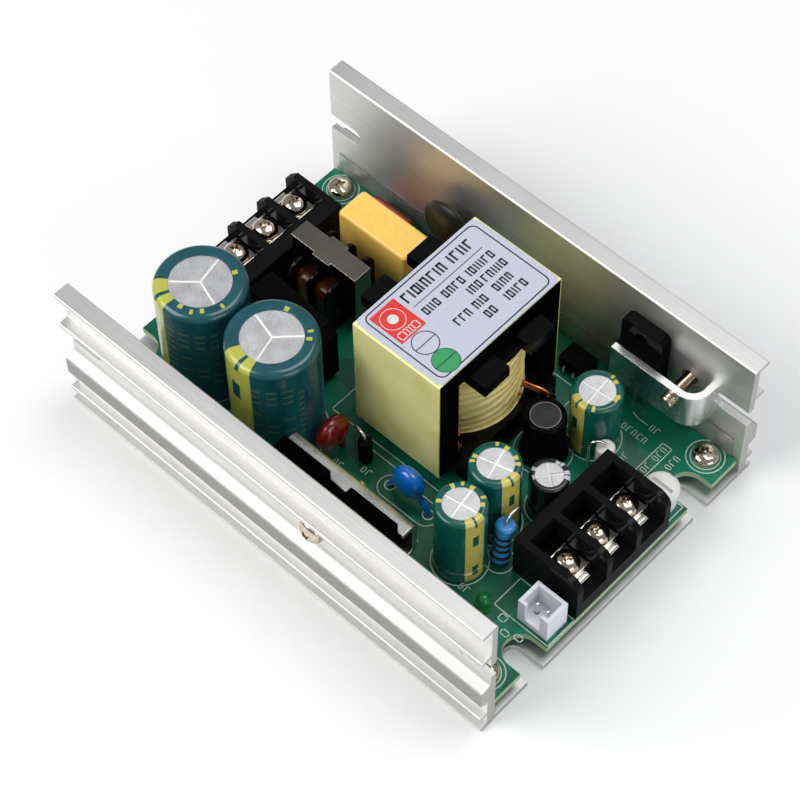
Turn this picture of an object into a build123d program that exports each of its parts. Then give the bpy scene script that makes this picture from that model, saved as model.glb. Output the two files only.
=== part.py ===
from build123d import *
import math
import os

# Open-frame switching power supply: a circuit board in a U-shaped finned extrusion.
# Millimetres. X runs along the walls from the input end (-) to the output end (+),
# Y runs to the right wall, Z is up. The origin is the bottom centre.

# Chassis extrusion
length = 110.0
inner_width = 72.0
wall_height = 35.8
wall_thickness = 1.5
floor_thickness = 1.5
fin_reach = 2.5
fin_thickness = 0.8
fin_droop = 0.2
fin_tip_radius = 0.3
cap_fin_thickness = 0.9
upper_fin_height = 26.5
rib_top = 15.3
rib_face_top = 14.5
rib_face_bottom = 10.0
rib_root = 9.1
rib_fillet = 1.0
lower_wall_extra = 0.6
lower_fin_height = 5.2
foot_thickness = 1.0
foot_radius = 0.7
edge_bevel = 0.3

# Mounting slots, open at both ends of the extrusion
slot_width = 4.4
floor_slot_offset = 24.4
floor_slot_depth = 7.7
wall_slot_depth = 8.4
wall_slot_width = 4.2

# Clamp screws through the walls, in the groove between the upper fin and the rib
wall_screw_height = 20.3
wall_hole_diameter = 4.4

# Circuit board and its screws
board_thickness = 1.6
board_setback = 0.7
board_side_gap = 0.3
notch_radius = 3.7
notch_depth = 6.7
standoff_height = 2.5
standoff_diameter = 5.6
spigot_diameter = 4.2
board_screw_inset_x = 5.0
board_screw_inset_y = 3.4
lead_tail = 1.2
lead_clearance = 0.15
fit = 0.1

# Machine screws
thread_diameter = 3.0
board_screw_length = 5.6
pan_head_diameter = 5.5
pan_head_height = 2.1
recess_width = 0.7
recess_span = 3.0
recess_depth = 1.2

# Insulating film beside the right wall
film_thickness = 0.2
film_height = 10.0
film_end_gap = 1.5

# Barrier terminal blocks
bay_count = 3
bay_pitch = 8.5
block_wall = 1.6
block_height = 11.5
terminal_plate = 6.5
terminal_plate_thickness = 0.8
terminal_pin = 1.2
terminal_head_diameter = 5.4
terminal_head_height = 1.9
clamp_plate = 6.4
clamp_plate_thickness = 0.7
clamp_lip = 0.45
clamp_lip_rise = 0.7

input_block_depth = 14.6
input_block_centre = 9.6
input_back = 3.5
input_bay_floor = 6.2
input_corner = 2.2
input_overhang = 0.2

output_block_depth = 16.0
output_block_centre = 1.2
output_back = 2.6
output_bay_floor = 4.2
output_corner = 3.0

# Common-mode choke
choke_centre = (-30.2, 10.0)
choke_core_length = 16.8
choke_core_bottom = 3.9
choke_core_height = 13.2
choke_limb_width = 4.6
choke_limb_height = 4.0
choke_side_limb = 2.9
choke_flange_width = 14.0
choke_flange_height = 14.6
choke_flange_thickness = 0.8
choke_flange_pitch = 4.9
choke_flange_count = 3
choke_flange_radius = 3.0
choke_winding_build = 2.9
choke_tube_wall = 0.6
choke_clip_thickness = 0.4
choke_clip_wide = 6.0
choke_clip_wide_length = 4.6
choke_clip_hook = 1.5

# Box capacitor, fuse and thermistor at the input end
x_capacitor_size = (18.4, 7.8, 14.8)
x_capacitor_gap = 2.6
x_capacitor_shift = 1.8
x_capacitor_radius = 0.9
fuse_diameter = 5.0
fuse_length = 10.4
fuse_gap = 2.0
fuse_shift = -6.5
fuse_lift = 0.4
thermistor_diameter = 13.0
thermistor_thickness = 4.4
thermistor_centre_x = -18.2
thermistor_wall_gap = 1.9
thermistor_lift = 8.2
thermistor_lead_spacing = 5.0

# Bridge rectifier
bridge_size = (19.0, 6.2, 15.0)
bridge_lift = 1.6
bridge_turn = -3.5
bridge_gap = 2.2
bridge_lead_spacing = 3.8
bridge_chamfer = 2.4

# Bulk capacitors
bulk_diameter = 18.6
bulk_height = 31.0
bulk_end_inset = 9.0
bulk_wall_gap = 7.5
bulk_gap = 0.5
bulk_rim = 3.1
sleeve_thickness = 0.25
sleeve_curl = 1.0
vent_width = 0.45
vent_depth = 0.2

# Transformer
transformer_centre = (4.4, 9.2)
core_length = 33.8
core_width = 22.3
core_height = 30.5
core_lift = 2.8
core_plate = 4.5
core_post = 13.4
core_window = 28.4
core_opening = 23.4
tape_thickness = 0.3
tape_margin = 0.4
label_thickness = 0.15
label_length = 32.4
label_corner = 1.2
winding_diameter = 26.8
winding_bands = 5
bobbin_wall = 0.9
bobbin_gap = 0.25
bobbin_flange = 0.9
bobbin_flange_diameter = 27.6
bobbin_tab_width = 6.8
bobbin_tab_reach = 15.9
bobbin_tab_height = 3.0
bobbin_tab_spacing = 12.9
bobbin_rail_reach = 14.6
bobbin_rail_width = 26.0
bobbin_rail_depth = 4.0
bobbin_pins = 6
bobbin_pin_pitch = 4.0

# Drum inductor
drum_centre = (24.9, 12.0)
drum_height = 12.4
drum_diameter = 7.9
drum_face = 6.5
drum_neck = 4.0
drum_rim = 1.6
drum_skirt = 10.0
drum_skirt_height = 4.0
shrink_thickness = 0.25

# Output capacitors
output_diameter = 10.3
output_tall = 20.5
output_short = 16.2
output_rim = 1.55
output_bung = 1.0
output_capacitor_spots = ((30.1, 21.0), (28.5, -6.7), (29.6, -17.55))
small_diameter = 8.0
small_height = 11.4
small_rim = 1.2
small_y = 2.8
small_block_gap = 0.3

# Small parts on the board
disc_centre = (13.3, -14.2)
disc_diameter = 7.4
disc_thickness = 3.6
disc_lift = 2.9
disc_leg_spacing = 10.0
dip_centre = (-5.0, -16.2)
dip_diameter = 8.0
dip_thickness = 3.4
dip_lift = 3.4
dip_leg_spacing = 5.0
banded_centre = (35.2, -12.4)
banded_diameter = 4.1
banded_waist = 3.5
banded_length = 11.0
banded_lift = 1.0
banded_lead_offset = 4.0
banded_lean = 7.0
upright_centre = (36.2, 17.0)
upright_diameter = 3.9
upright_length = 7.0
upright_lift = 0.5
upright_lead_offset = (-2.4, -2.2)
diode_centre = (1.0, -13.4)
diode_diameter = 2.9
diode_length = 6.8
diode_lift = 0.6
diode_lead_offset = (-3.4, 0.7)
led_centre = (39.6, -22.0)
led_diameter = 3.0
led_height = 4.0
small_lead = 0.6
coated_leg = 1.5
lead_loop = 1.6

# Two-pin header
header_centre = (49.7, -16.8)
header_size = (7.4, 5.8, 7.0)
header_wall = 0.8
header_floor = 1.6
header_notch = 3.6
header_pin = 0.64
header_pin_pitch = 2.5
header_pin_rise = 3.4

# Trimmer
trimmer_centre = (49.2, 18.4)
trimmer_body_diameter = 6.6
trimmer_body_height = 3.2
trimmer_rotor_diameter = 7.2
trimmer_rotor_height = 2.8
trimmer_dome = 1.0
trimmer_slot_width = 0.8
trimmer_slot_depth = 0.9
trimmer_shaft = 3.0
trimmer_key = 1.0
trimmer_play = 0.15
trimmer_shaft_play = 0.07
trimmer_bore_depth = 1.6

# Power packages clamped to the walls
package_width = 10.2
package_length = 15.8
package_thickness = 4.6
package_tab_thickness = 2.7
package_tab_length = 6.7
package_hole = 3.2
package_lead_width = 0.8
package_lead_thickness = 0.5
package_lead_pitch = 2.54
package_chamfer = 1.0

# Output rectifier and its clamp on the right wall
rectifier_x = 30.4
rectifier_bottom = 13.4
clamp_screw_x = 40.8
clamp_bend_x = 46.9
clamp_start_x = 25.8
clamp_thickness = 1.5
clamp_below_screw = 6.3
clamp_above_screw = 2.7
clamp_radius = 4.5
clamp_screw_tip = 1.6

# Switching transistors and their clamp on the left wall
switch_x = 10.7
switch_spacing = 17.0
switch_bottom = 12.0
switch_sleeve = 0.8
bar_length = 30.6
bar_height = 9.6
bar_depth = 4.0
bar_thickness = 1.2
bar_radius = 1.8
bar_screw_tip = 1.6

# Control parts hidden behind the transformer
chip_size = (9.8, 6.4, 3.4)
chip_centre = (3.2, 30.8)
opto_size = (6.5, 4.6, 3.4)
opto_centre = (17.2, 31.2)
chip_lead_pitch = 2.54
chip_lead_width = 0.5
chip_lead_reach = 0.7
chip_lead_count = 4
opto_lead_count = 2
chip_lift = 0.6

# Sizes that follow from those above
inner_y = inner_width / 2
wall_face_y = inner_y + wall_thickness
lower_face_y = wall_face_y + lower_wall_extra
fin_tip_y = wall_face_y + fin_reach
board_bottom = floor_thickness + standoff_height
board_top = board_bottom + board_thickness
board_length = length - 2 * board_setback
board_width = inner_width - 2 * board_side_gap
board_screw_x = board_length / 2 - board_screw_inset_x
board_screw_y = board_width / 2 - board_screw_inset_y
board_screw_spots = [(sx * board_screw_x, sy * board_screw_y) for sx in (-1, 1) for sy in (-1, 1)]
clamp_bottom = wall_screw_height - clamp_below_screw
clamp_top = wall_screw_height + clamp_above_screw
output_back_x = board_length / 2 - output_block_depth
input_back_x = -board_length / 2 - input_overhang + input_block_depth
bulk_y = -inner_y + bulk_wall_gap + bulk_diameter / 2
bulk_1 = (-board_length / 2 + bulk_end_inset + bulk_diameter / 2, bulk_y)
bulk_2 = (bulk_1[0] + bulk_diameter + bulk_gap, bulk_y)
bridge_centre = ((bulk_1[0] + bulk_2[0]) / 2,
                 bulk_y + bulk_diameter / 2 + bridge_gap + bridge_size[1] / 2)
x_capacitor_centre = (choke_centre[0] + x_capacitor_shift,
                      choke_centre[1] + choke_flange_width / 2 + x_capacitor_gap
                      + x_capacitor_size[1] / 2)
fuse_centre = (x_capacitor_centre[0] + fuse_shift,
               x_capacitor_centre[1] + x_capacitor_size[1] / 2 + fuse_gap + fuse_diameter / 2)
thermistor_centre = (thermistor_centre_x, inner_y - thermistor_wall_gap - thermistor_thickness / 2)
small_centre = (output_back_x - small_block_gap - small_diameter / 2, small_y)
bridge_leads = [(bridge_centre[0] + i * bridge_lead_spacing
                 * math.cos(math.radians(bridge_turn)),
                 bridge_centre[1] + i * bridge_lead_spacing
                 * math.sin(math.radians(bridge_turn))) for i in (-1.5, -0.5, 0.5, 1.5)]
rectifier_lead_y = inner_y - package_tab_thickness
switch_lead_y = -inner_y + switch_sleeve + package_tab_thickness
switch_spots = (switch_x - switch_spacing / 2, switch_x + switch_spacing / 2)


def slab(x0, x1, y0, y1, z0, z1):
    """A block between six planes."""
    return Pos((x0 + x1) / 2, (y0 + y1) / 2, (z0 + z1) / 2) * Box(x1 - x0, y1 - y0, z1 - z0)


def brick(centre, size, z0):
    """A block over a spot on the board, standing on z0."""
    return Pos(centre[0], centre[1], z0 + size[2] / 2) * Box(*size)


def rod(spot, diameter, z0, z1):
    """An upright cylinder between two heights."""
    return Pos(spot[0], spot[1], (z0 + z1) / 2) * Cylinder(diameter / 2, z1 - z0)


def rod_y(x, z, diameter, y0, y1):
    """A cylinder lying along Y."""
    return Pos(x, (y0 + y1) / 2, z) * Rot(90, 0, 0) * Cylinder(diameter / 2, y1 - y0)


def turned(points, spot, z0):
    """A solid of revolution from (radius, height) points, standing at a spot."""
    face = Plane.XZ * make_face(Polyline(*points, close=True))
    return Pos(spot[0], spot[1], z0) * revolve(face, Axis.Z)


def nearest(shape, point):
    """The corner of a flat face that lies nearest to a point."""
    return shape.vertices().sort_by_distance(Vector(*point))[0]


def wire(points, radii, diameter):
    """A round wire along straight runs joined by tangent arcs."""
    path = FilletPolyline(*points, radius=radii)
    start = Plane(origin=path @ 0, z_dir=path % 0)
    return sweep(start * Circle(diameter / 2), path=path)


def through_lead(spot, top, diameter=small_lead):
    """A straight lead that passes through the board."""
    return rod(spot, diameter, board_bottom - lead_tail, top)


def save(name, *solids):
    """Write the solids of one node."""
    shape = solids[0] if len(solids) == 1 else Compound(children=list(solids))
    shape.label = name
    export_step(shape, f"parts/{name}.step")


def wall_section():
    """The right half of the extrusion's section, in Y and Z."""
    fin_drop = fin_droop + fin_thickness
    points = [
        (0, 0),
        (fin_tip_y, 0),
        (fin_tip_y, foot_thickness),
        (lower_face_y, foot_thickness + fin_droop),
        (lower_face_y, lower_fin_height - fin_drop),
        (fin_tip_y, lower_fin_height - fin_drop),
        (fin_tip_y, lower_fin_height - fin_droop),
        (lower_face_y, lower_fin_height),
        (lower_face_y, rib_root),
        (fin_tip_y, rib_face_bottom),
        (fin_tip_y, rib_face_top),
        (wall_face_y, rib_top),
        (wall_face_y, upper_fin_height - fin_drop),
        (fin_tip_y, upper_fin_height - fin_drop),
        (fin_tip_y, upper_fin_height - fin_droop),
        (wall_face_y, upper_fin_height),
        (wall_face_y, wall_height - cap_fin_thickness),
        (fin_tip_y, wall_height - cap_fin_thickness),
        (fin_tip_y, wall_height),
        (inner_y, wall_height),
        (inner_y, floor_thickness),
        (0, floor_thickness),
    ]
    face = make_face(Polyline(*points, close=True))
    face = fillet(nearest(face, (wall_face_y, rib_top, 0)), rib_fillet)
    face = fillet(nearest(face, (fin_tip_y, 0, 0)), foot_radius)
    for height in (upper_fin_height - fin_droop, lower_fin_height - fin_droop, wall_height):
        face = fillet(nearest(face, (fin_tip_y, height, 0)), fin_tip_radius)
    return chamfer(nearest(face, (inner_y, wall_height, 0)), edge_bevel)


def end_slot(depth, width):
    """A slot outline that opens at x = 0 and ends in a half round at -depth."""
    straight = depth - width / 2
    block = Pos(-straight / 2 + width / 2, 0) * Rectangle(straight + width, width)
    return block + Pos(-straight, 0) * Circle(width / 2)


def make_chassis():
    """The U-shaped extrusion with its end slots and screw holes."""
    half = wall_section()
    section = half + mirror(half, about=Plane.YZ)
    body = extrude(Plane.YZ.offset(-length / 2) * section, amount=length)
    floor_cutter = extrude(end_slot(floor_slot_depth, slot_width), amount=floor_thickness * 2,
                           both=True)
    wall_cutter = Rot(90, 0, 0) * extrude(end_slot(wall_slot_depth, wall_slot_width),
                                          amount=fin_reach * 2, both=True)
    for end in (0, 180):
        for side in (-1, 1):
            body -= Rot(0, 0, end) * Pos(length / 2, side * floor_slot_offset, 0) * floor_cutter
            body -= (Rot(0, 0, end) * Pos(length / 2, side * wall_face_y, wall_screw_height)
                     * wall_cutter)
    for spot in board_screw_spots:
        body -= rod(spot, spigot_diameter + 2 * fit, -fit, floor_thickness + fit)
    body -= rod_y(clamp_screw_x, wall_screw_height, wall_hole_diameter, inner_y - 1, fin_tip_y)
    body -= rod_y(switch_x, wall_screw_height, wall_hole_diameter, -fin_tip_y, 1 - inner_y)
    return body


def make_standoffs():
    """Clinched spacers: a round body on the floor and a spigot through it."""
    solids = []
    for spot in board_screw_spots:
        post = rod(spot, standoff_diameter, floor_thickness, board_bottom)
        post += rod(spot, spigot_diameter, 0, floor_thickness)
        solids.append(post - rod(spot, thread_diameter + 2 * fit, -fit, board_bottom + fit))
    return solids


def pan_screw(shank_length, head_diameter, head_height):
    """A pan-head cross-recess screw: head up from z = 0, shank down."""
    radius = head_diameter / 2
    shoulder = head_height * 0.45
    head = turned([(0, 0), (radius, 0), (radius, shoulder), (radius * 0.82, head_height * 0.85),
                   (radius * 0.5, head_height), (0, head_height)], (0, 0), 0)
    recess = Box(recess_span, recess_width, recess_depth) + Box(recess_width, recess_span,
                                                                recess_depth)
    head -= Pos(0, 0, head_height - recess_depth / 2) * recess
    return head + rod((0, 0), thread_diameter, -shank_length, 0)


def make_board_screws():
    """The four screws that hold the board down."""
    turns = (20, 65, 40, 10)
    screw = pan_screw(board_screw_length, pan_head_diameter, pan_head_height)
    return [Pos(spot[0], spot[1], board_top) * Rot(0, 0, turn) * screw
            for spot, turn in zip(board_screw_spots, turns)]


def make_film():
    """A clear strip that stands between the board's edge and the right wall."""
    reach = board_length / 2 - film_end_gap
    outer = inner_y - (board_side_gap - film_thickness) / 2
    return slab(-reach, reach, outer - film_thickness, outer, floor_thickness,
                floor_thickness + film_height)


def bay_offsets():
    """Centres of the bays along a block."""
    return [(i - (bay_count - 1) / 2) * bay_pitch for i in range(bay_count)]


def barrier_block(depth, back, bay_floor, corner, rounded):
    """A barrier housing: back wall at x = 0, bays open at +x, standing on z = 0."""
    width = bay_count * bay_pitch + block_wall
    profile = Pos(depth / 2, block_height / 2) * Rectangle(depth, block_height)
    top_corner = nearest(profile, (depth, block_height, 0))
    profile = fillet(top_corner, corner) if rounded else chamfer(top_corner, corner)
    body = extrude(Plane.XZ * profile, amount=width / 2, both=True)
    clear = bay_pitch - block_wall
    for y in bay_offsets():
        body -= slab(back, depth + 1, y - clear / 2, y + clear / 2, bay_floor, block_height + 1)
        x = terminal_x(depth, back)
        body -= rod((x, y), thread_diameter + 2 * fit, fit - 1, bay_floor + 1)
        body -= pin_slot(x, y, bay_floor)
    return body


def terminal_x(depth, back):
    """Where a bay's screw stands, from the block's back face."""
    return back + (depth - back) * 0.47


def pin_slot(x, y, bay_floor):
    """The slot in the housing that a terminal's pin runs down through."""
    reach = terminal_pin / 2 + fit
    x0 = x + terminal_plate / 2 - terminal_pin / 2
    return slab(x0 - reach, x0 + reach, y - reach, y + reach, -1, bay_floor + 1)


def barrier_terminals(depth, back, bay_floor):
    """Terminal plates, each with a pin through the housing and the board."""
    solids = []
    x = terminal_x(depth, back)
    for y in bay_offsets():
        plate = slab(x - terminal_plate / 2, x + terminal_plate / 2, y - terminal_plate / 2,
                     y + terminal_plate / 2, bay_floor, bay_floor + terminal_plate_thickness)
        plate -= rod((x, y), thread_diameter + 2 * fit, bay_floor - 1, bay_floor + 2)
        x0 = x + terminal_plate / 2 - terminal_pin
        pin = slab(x0, x0 + terminal_pin, y - terminal_pin / 2, y + terminal_pin / 2,
                   -board_thickness - lead_tail, bay_floor)
        solids.append(plate + pin)
    return solids


def barrier_clamps(depth, back, bay_floor):
    """Square clamp washers with a turned-up lip at the back and the front."""
    solids = []
    x = terminal_x(depth, back)
    z0 = bay_floor + terminal_plate_thickness
    z1 = z0 + clamp_plate_thickness
    half = clamp_plate / 2
    for y in bay_offsets():
        plate = slab(x - half, x + half, y - half, y + half, z0, z1)
        for side in (-1, 1):
            edge = x + side * (half - clamp_lip / 2)
            plate += slab(edge - clamp_lip / 2, edge + clamp_lip / 2, y - half, y + half,
                          z1, z1 + clamp_lip_rise)
        solids.append(plate - rod((x, y), thread_diameter + 2 * fit, z0 - 1, z1 + 1))
    return solids


def barrier_screws(depth, back, bay_floor):
    """The terminal screws, tightened on their clamp washers."""
    z = bay_floor + terminal_plate_thickness + clamp_plate_thickness
    screw = pan_screw(z - fit, terminal_head_diameter, terminal_head_height)
    turns = (15, 50, 75)
    return [Pos(terminal_x(depth, back), y, z) * Rot(0, 0, turn) * screw
            for y, turn in zip(bay_offsets(), turns)]


def pin_spots(depth, back, place):
    """Where a block's pins pass through the board."""
    x = terminal_x(depth, back) + terminal_plate / 2 - terminal_pin / 2
    return [(place * Pos(x, y, 0)).position for y in bay_offsets()]


def write_blocks(input_place, output_place):
    """The two housings, and the metal parts that both hold."""
    inlet = (input_block_depth, input_back, input_bay_floor)
    outlet = (output_block_depth, output_back, output_bay_floor)
    save("input_terminal_block", input_place * barrier_block(*inlet, input_corner, False))
    save("output_terminal_block", output_place * barrier_block(*outlet, output_corner, True))
    for name, make in (("terminals", barrier_terminals), ("clamp_plates", barrier_clamps),
                       ("terminal_screws", barrier_screws)):
        save(name, *[input_place * solid for solid in make(*inlet)],
             *[output_place * solid for solid in make(*outlet)])


def choke_place():
    """The choke's own frame: centre on the board, X along its windings."""
    return Pos(choke_centre[0], choke_centre[1], board_top)


def choke_flange_positions():
    """The X places of the bobbin's flanges, from the choke's centre."""
    return [(i - (choke_flange_count - 1) / 2) * choke_flange_pitch
            for i in range(choke_flange_count)]


def choke_core():
    """Two U cores meeting as one upright ring."""
    half = choke_core_length / 2
    side = choke_side_limb
    ring = slab(-half, half, -choke_limb_width / 2, choke_limb_width / 2, choke_core_bottom,
                choke_core_bottom + choke_core_height)
    return ring - slab(side - half, half - side, -choke_limb_width, choke_limb_width,
                       choke_core_bottom + choke_limb_height,
                       choke_core_bottom + choke_core_height - choke_limb_height)


def choke_bobbin():
    """A square tube round the lower limb with upright flanges slotted for the upper limb."""
    inner_y_gap = choke_limb_width / 2 + fit
    z0 = choke_core_bottom - fit
    z1 = choke_core_bottom + choke_limb_height + fit
    outer_flange = choke_flange_positions()[-1] + choke_flange_thickness / 2
    wall = choke_tube_wall
    tube = slab(-outer_flange, outer_flange, -inner_y_gap - wall, inner_y_gap + wall,
                z0 - wall, z1 + wall)
    for x in choke_flange_positions():
        flange = Pos(0, choke_flange_height / 2) * Rectangle(choke_flange_width,
                                                            choke_flange_height)
        corners = flange.vertices().group_by(Axis.Y)[-1]
        flange = fillet(corners, choke_flange_radius)
        tube += Pos(x, 0, 0) * extrude(Plane.YZ * flange, amount=choke_flange_thickness / 2,
                                       both=True)
    slot_bottom = choke_core_bottom + choke_core_height - choke_limb_height - fit
    tube -= slab(-choke_core_length, choke_core_length, -inner_y_gap, inner_y_gap, slot_bottom,
                 choke_flange_height + 1)
    return tube - slab(-choke_core_length, choke_core_length, -inner_y_gap, inner_y_gap, z0, z1)


def choke_windings():
    """A coil of wire between each pair of flanges."""
    solids = []
    wall = choke_tube_wall + fit
    z_mid = choke_core_bottom + choke_limb_height / 2
    room = choke_flange_pitch - choke_flange_thickness
    tube = Rectangle(choke_limb_width + 2 * wall, choke_limb_height + 2 * wall)
    coil = fillet(offset(tube, choke_winding_build, kind=Kind.INTERSECTION).vertices(), 2.0) - tube
    places = choke_flange_positions()
    for left, right in zip(places, places[1:]):
        solids.append(Pos((left + right) / 2, 0, z_mid)
                      * extrude(Plane.YZ * coil, amount=room / 2, both=True))
    return solids


def choke_clip():
    """A spring strip over the upper limb, wider in the middle, bent down both ends."""
    half = choke_core_length / 2
    top = choke_core_bottom + choke_core_height
    t = choke_clip_thickness
    width = choke_limb_width / 2
    strip = slab(-half - t, half + t, -width, width, top, top + t)
    strip += slab(-choke_clip_wide_length / 2, choke_clip_wide_length / 2, -choke_clip_wide / 2,
                  choke_clip_wide / 2, top, top + t)
    for side in (-1, 1):
        x0, x1 = sorted((side * half, side * (half + t)))
        strip += slab(x0, x1, -width, width, choke_core_bottom - t, top + t)
        x0, x1 = sorted((side * (half + t), side * (half - choke_clip_hook)))
        strip += slab(x0, x1, -width, width, choke_core_bottom - t, choke_core_bottom)
    return strip


def x_capacitor():
    """A moulded box capacitor with soft edges."""
    body = brick(x_capacitor_centre, x_capacitor_size, board_top)
    edges = body.edges().filter_by(Axis.Z) + body.edges().group_by(Axis.Z)[-1]
    return fillet(edges, x_capacitor_radius)


def fuse_body():
    """A sleeved tube fuse lying along X."""
    z = board_top + fuse_lift + fuse_diameter / 2
    body = Pos(fuse_centre[0], fuse_centre[1], z) * Rot(0, 90, 0) * Cylinder(fuse_diameter / 2,
                                                                          fuse_length)
    return fillet(body.edges().filter_by(GeomType.CIRCLE), fuse_diameter * 0.14)


def fuse_leads():
    """The fuse's leads, bent down through the board."""
    z = board_top + fuse_lift + fuse_diameter / 2
    x, y = fuse_centre
    leads = []
    for side in (-1, 1):
        start = x + side * fuse_length / 2
        out = x + side * (fuse_length / 2 + lead_loop)
        leads.append(wire([(start, y, z), (out, y, z), (out, y, board_bottom - lead_tail)],
                          small_lead * 1.5, small_lead))
    return leads


def fuse_lead_spots():
    """Where the fuse's leads pass through the board."""
    reach = fuse_length / 2 + lead_loop
    return [(fuse_centre[0] - reach, fuse_centre[1]), (fuse_centre[0] + reach, fuse_centre[1])]


def coated_disc(centre, diameter, thickness, lift, spacing, leg, along_x=True):
    """A dipped disc standing on edge, its coating run down both legs to the board."""
    radius = diameter / 2
    rim = thickness / 4
    face = Plane.XZ * make_face(Polyline((0, -thickness / 2), (radius * 0.55, -thickness / 2),
                                         (radius * 0.9, -rim), (radius, 0), (radius * 0.9, rim),
                                         (radius * 0.55, thickness / 2), (0, thickness / 2),
                                         close=True))
    body = Pos(0, 0, lift + radius) * Rot(90, 0, 0) * revolve(face, Axis.Z)
    splay = max(spacing / 2 - radius * 0.6, leg / 4)
    top = lift + radius * 0.6
    for side in (-1, 1):
        foot = side * spacing / 2
        points = [(foot, 0, 0), (foot, 0, leg), (foot - side * splay, 0, top)]
        body += wire(points, leg * 0.6, leg)
    turn = 0 if along_x else 90
    return Pos(centre[0], centre[1], board_top) * Rot(0, 0, turn) * body


def pair_spots(centre, spacing, along_x=True):
    """Two lead places each side of a centre."""
    half = spacing / 2
    if along_x:
        return [(centre[0] - half, centre[1]), (centre[0] + half, centre[1])]
    return [(centre[0], centre[1] - half), (centre[0], centre[1] + half)]


def stub_leads(spots):
    """Bare lead ends below a coated part, through the board."""
    return [through_lead(spot, board_top) for spot in spots]


def bridge_rectifier():
    """An upright in-line bridge: a flat moulding with one cut corner."""
    block = Box(*bridge_size)
    corner = block.edges().filter_by(Axis.Y).sort_by(Axis.Z)[-1:]
    block = chamfer(corner, bridge_chamfer)
    place = Pos(bridge_centre[0], bridge_centre[1], board_top + bridge_lift + bridge_size[2] / 2)
    return place * Rot(0, 0, bridge_turn) * block


def can_and_sleeve(spot, diameter, height, rim, bung):
    """An aluminium can on a rubber bung, and the shrunk sleeve round it."""
    inner = diameter / 2 - sleeve_thickness
    neck = inner - 0.4
    crimp = 2.2
    can = turned([(0, bung), (inner, bung), (inner, bung + crimp), (neck, bung + crimp + 0.5),
                  (inner, bung + crimp + 1.0), (inner, height - 0.6), (inner - 0.6, height),
                  (0, height)], spot, board_top)
    outer = diameter / 2
    rise = height + sleeve_thickness
    sleeve = turned([(inner, bung * 0.5), (outer, bung * 0.5), (outer, bung + crimp),
                     (neck + sleeve_thickness, bung + crimp + 0.5), (outer, bung + crimp + 1.0),
                     (outer, height - sleeve_curl), (outer - 0.35, rise - 0.25),
                     (outer - sleeve_curl, rise), (inner - rim + sleeve_thickness, rise),
                     (inner - rim + sleeve_thickness, height), (inner - 0.6, height),
                     (inner, height - 0.6), (inner, bung + crimp + 1.0),
                     (neck, bung + crimp + 0.5), (inner, bung + crimp)], spot, board_top)
    foot = turned([(0, 0), (inner - 0.5, 0), (inner - 0.5, bung), (0, bung)], spot, board_top)
    return can, sleeve, foot


def vents(spot, height, face_diameter, arms, turn):
    """Shallow vent grooves stamped in a can's top, as arms from its centre."""
    reach = face_diameter / 2
    groove = Pos(reach / 2, 0, 0) * Box(reach, vent_width, 2 * vent_depth)
    cutter = groove
    for i in range(1, arms):
        cutter += Rot(0, 0, 360 / arms * i) * groove
    return Pos(spot[0], spot[1], board_top + height) * Rot(0, 0, turn) * cutter


def transformer_place():
    """The transformer's own frame: its axis on the board's top."""
    return Pos(transformer_centre[0], transformer_centre[1], board_top)


def transformer_core():
    """A pot-like core: two plates, a round centre post and two curved outer legs."""
    z0 = core_lift
    body = slab(-core_width / 2, core_width / 2, -core_length / 2, core_length / 2, z0,
                z0 + core_height)
    w0 = z0 + core_plate
    w1 = z0 + core_height - core_plate
    window = rod((0, 0), core_window, w0, w1)
    window += slab(-core_width, core_width, -core_opening / 2, core_opening / 2, w0, w1)
    return body - (window - rod((0, 0), core_post, w0, w1))


def transformer_bobbin():
    """Tube, two flanges, wire tabs at the top and pin rails at the bottom."""
    bore = core_post / 2 + bobbin_gap
    w0 = core_lift + core_plate + bobbin_gap
    w1 = core_lift + core_height - core_plate - bobbin_gap
    body = rod((0, 0), 2 * (bore + bobbin_wall), w0, w1)
    body += rod((0, 0), bobbin_flange_diameter, w0, w0 + bobbin_flange)
    body += rod((0, 0), bobbin_flange_diameter, w1 - bobbin_flange, w1)
    core_x = core_width / 2 + tape_thickness + bobbin_gap
    for side in (-1, 1):
        for shift in (-0.5, 0.5):
            y = shift * bobbin_tab_spacing
            x0, x1 = sorted((side * (core_width / 2 - 3), side * bobbin_tab_reach))
            tab = slab(x0, x1, y - bobbin_tab_width / 2, y + bobbin_tab_width / 2,
                       w1 - bobbin_flange, w1)
            x0, x1 = sorted((side * core_x, side * bobbin_tab_reach))
            tab += slab(x0, x1, y - bobbin_tab_width / 2, y + bobbin_tab_width / 2,
                        w1 - bobbin_flange, w1 - bobbin_flange + bobbin_tab_height)
            body += tab
        x0, x1 = sorted((side * core_x, side * bobbin_rail_reach))
        body += slab(x0, x1, -bobbin_rail_width / 2, bobbin_rail_width / 2, 0.4,
                     w0 + bobbin_flange)
        x2, x3 = sorted((side * (core_width / 2 - 3), side * (core_x + 0.5)))
        body += slab(x2, x3, -core_opening / 2 + 1, core_opening / 2 - 1, w0,
                     w0 + bobbin_flange)
        for i in range(bobbin_pins):
            y = (i - (bobbin_pins - 1) / 2) * bobbin_pin_pitch
            x = side * (core_x + bobbin_rail_reach) / 2
            body -= rod((x, y), small_lead + 2 * fit, 0, bobbin_rail_depth)
    return body - rod((0, 0), 2 * bore, w0 - 1, w1 + 1)


def transformer_pins():
    """The bobbin's pins, pressed up into its rails."""
    core_x = core_width / 2 + tape_thickness + bobbin_gap
    solids = []
    for side in (-1, 1):
        for i in range(bobbin_pins):
            y = (i - (bobbin_pins - 1) / 2) * bobbin_pin_pitch
            spot = (side * (core_x + bobbin_rail_reach) / 2, y)
            solids.append(rod(spot, small_lead, -board_thickness - lead_tail, bobbin_rail_depth))
    return solids


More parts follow.
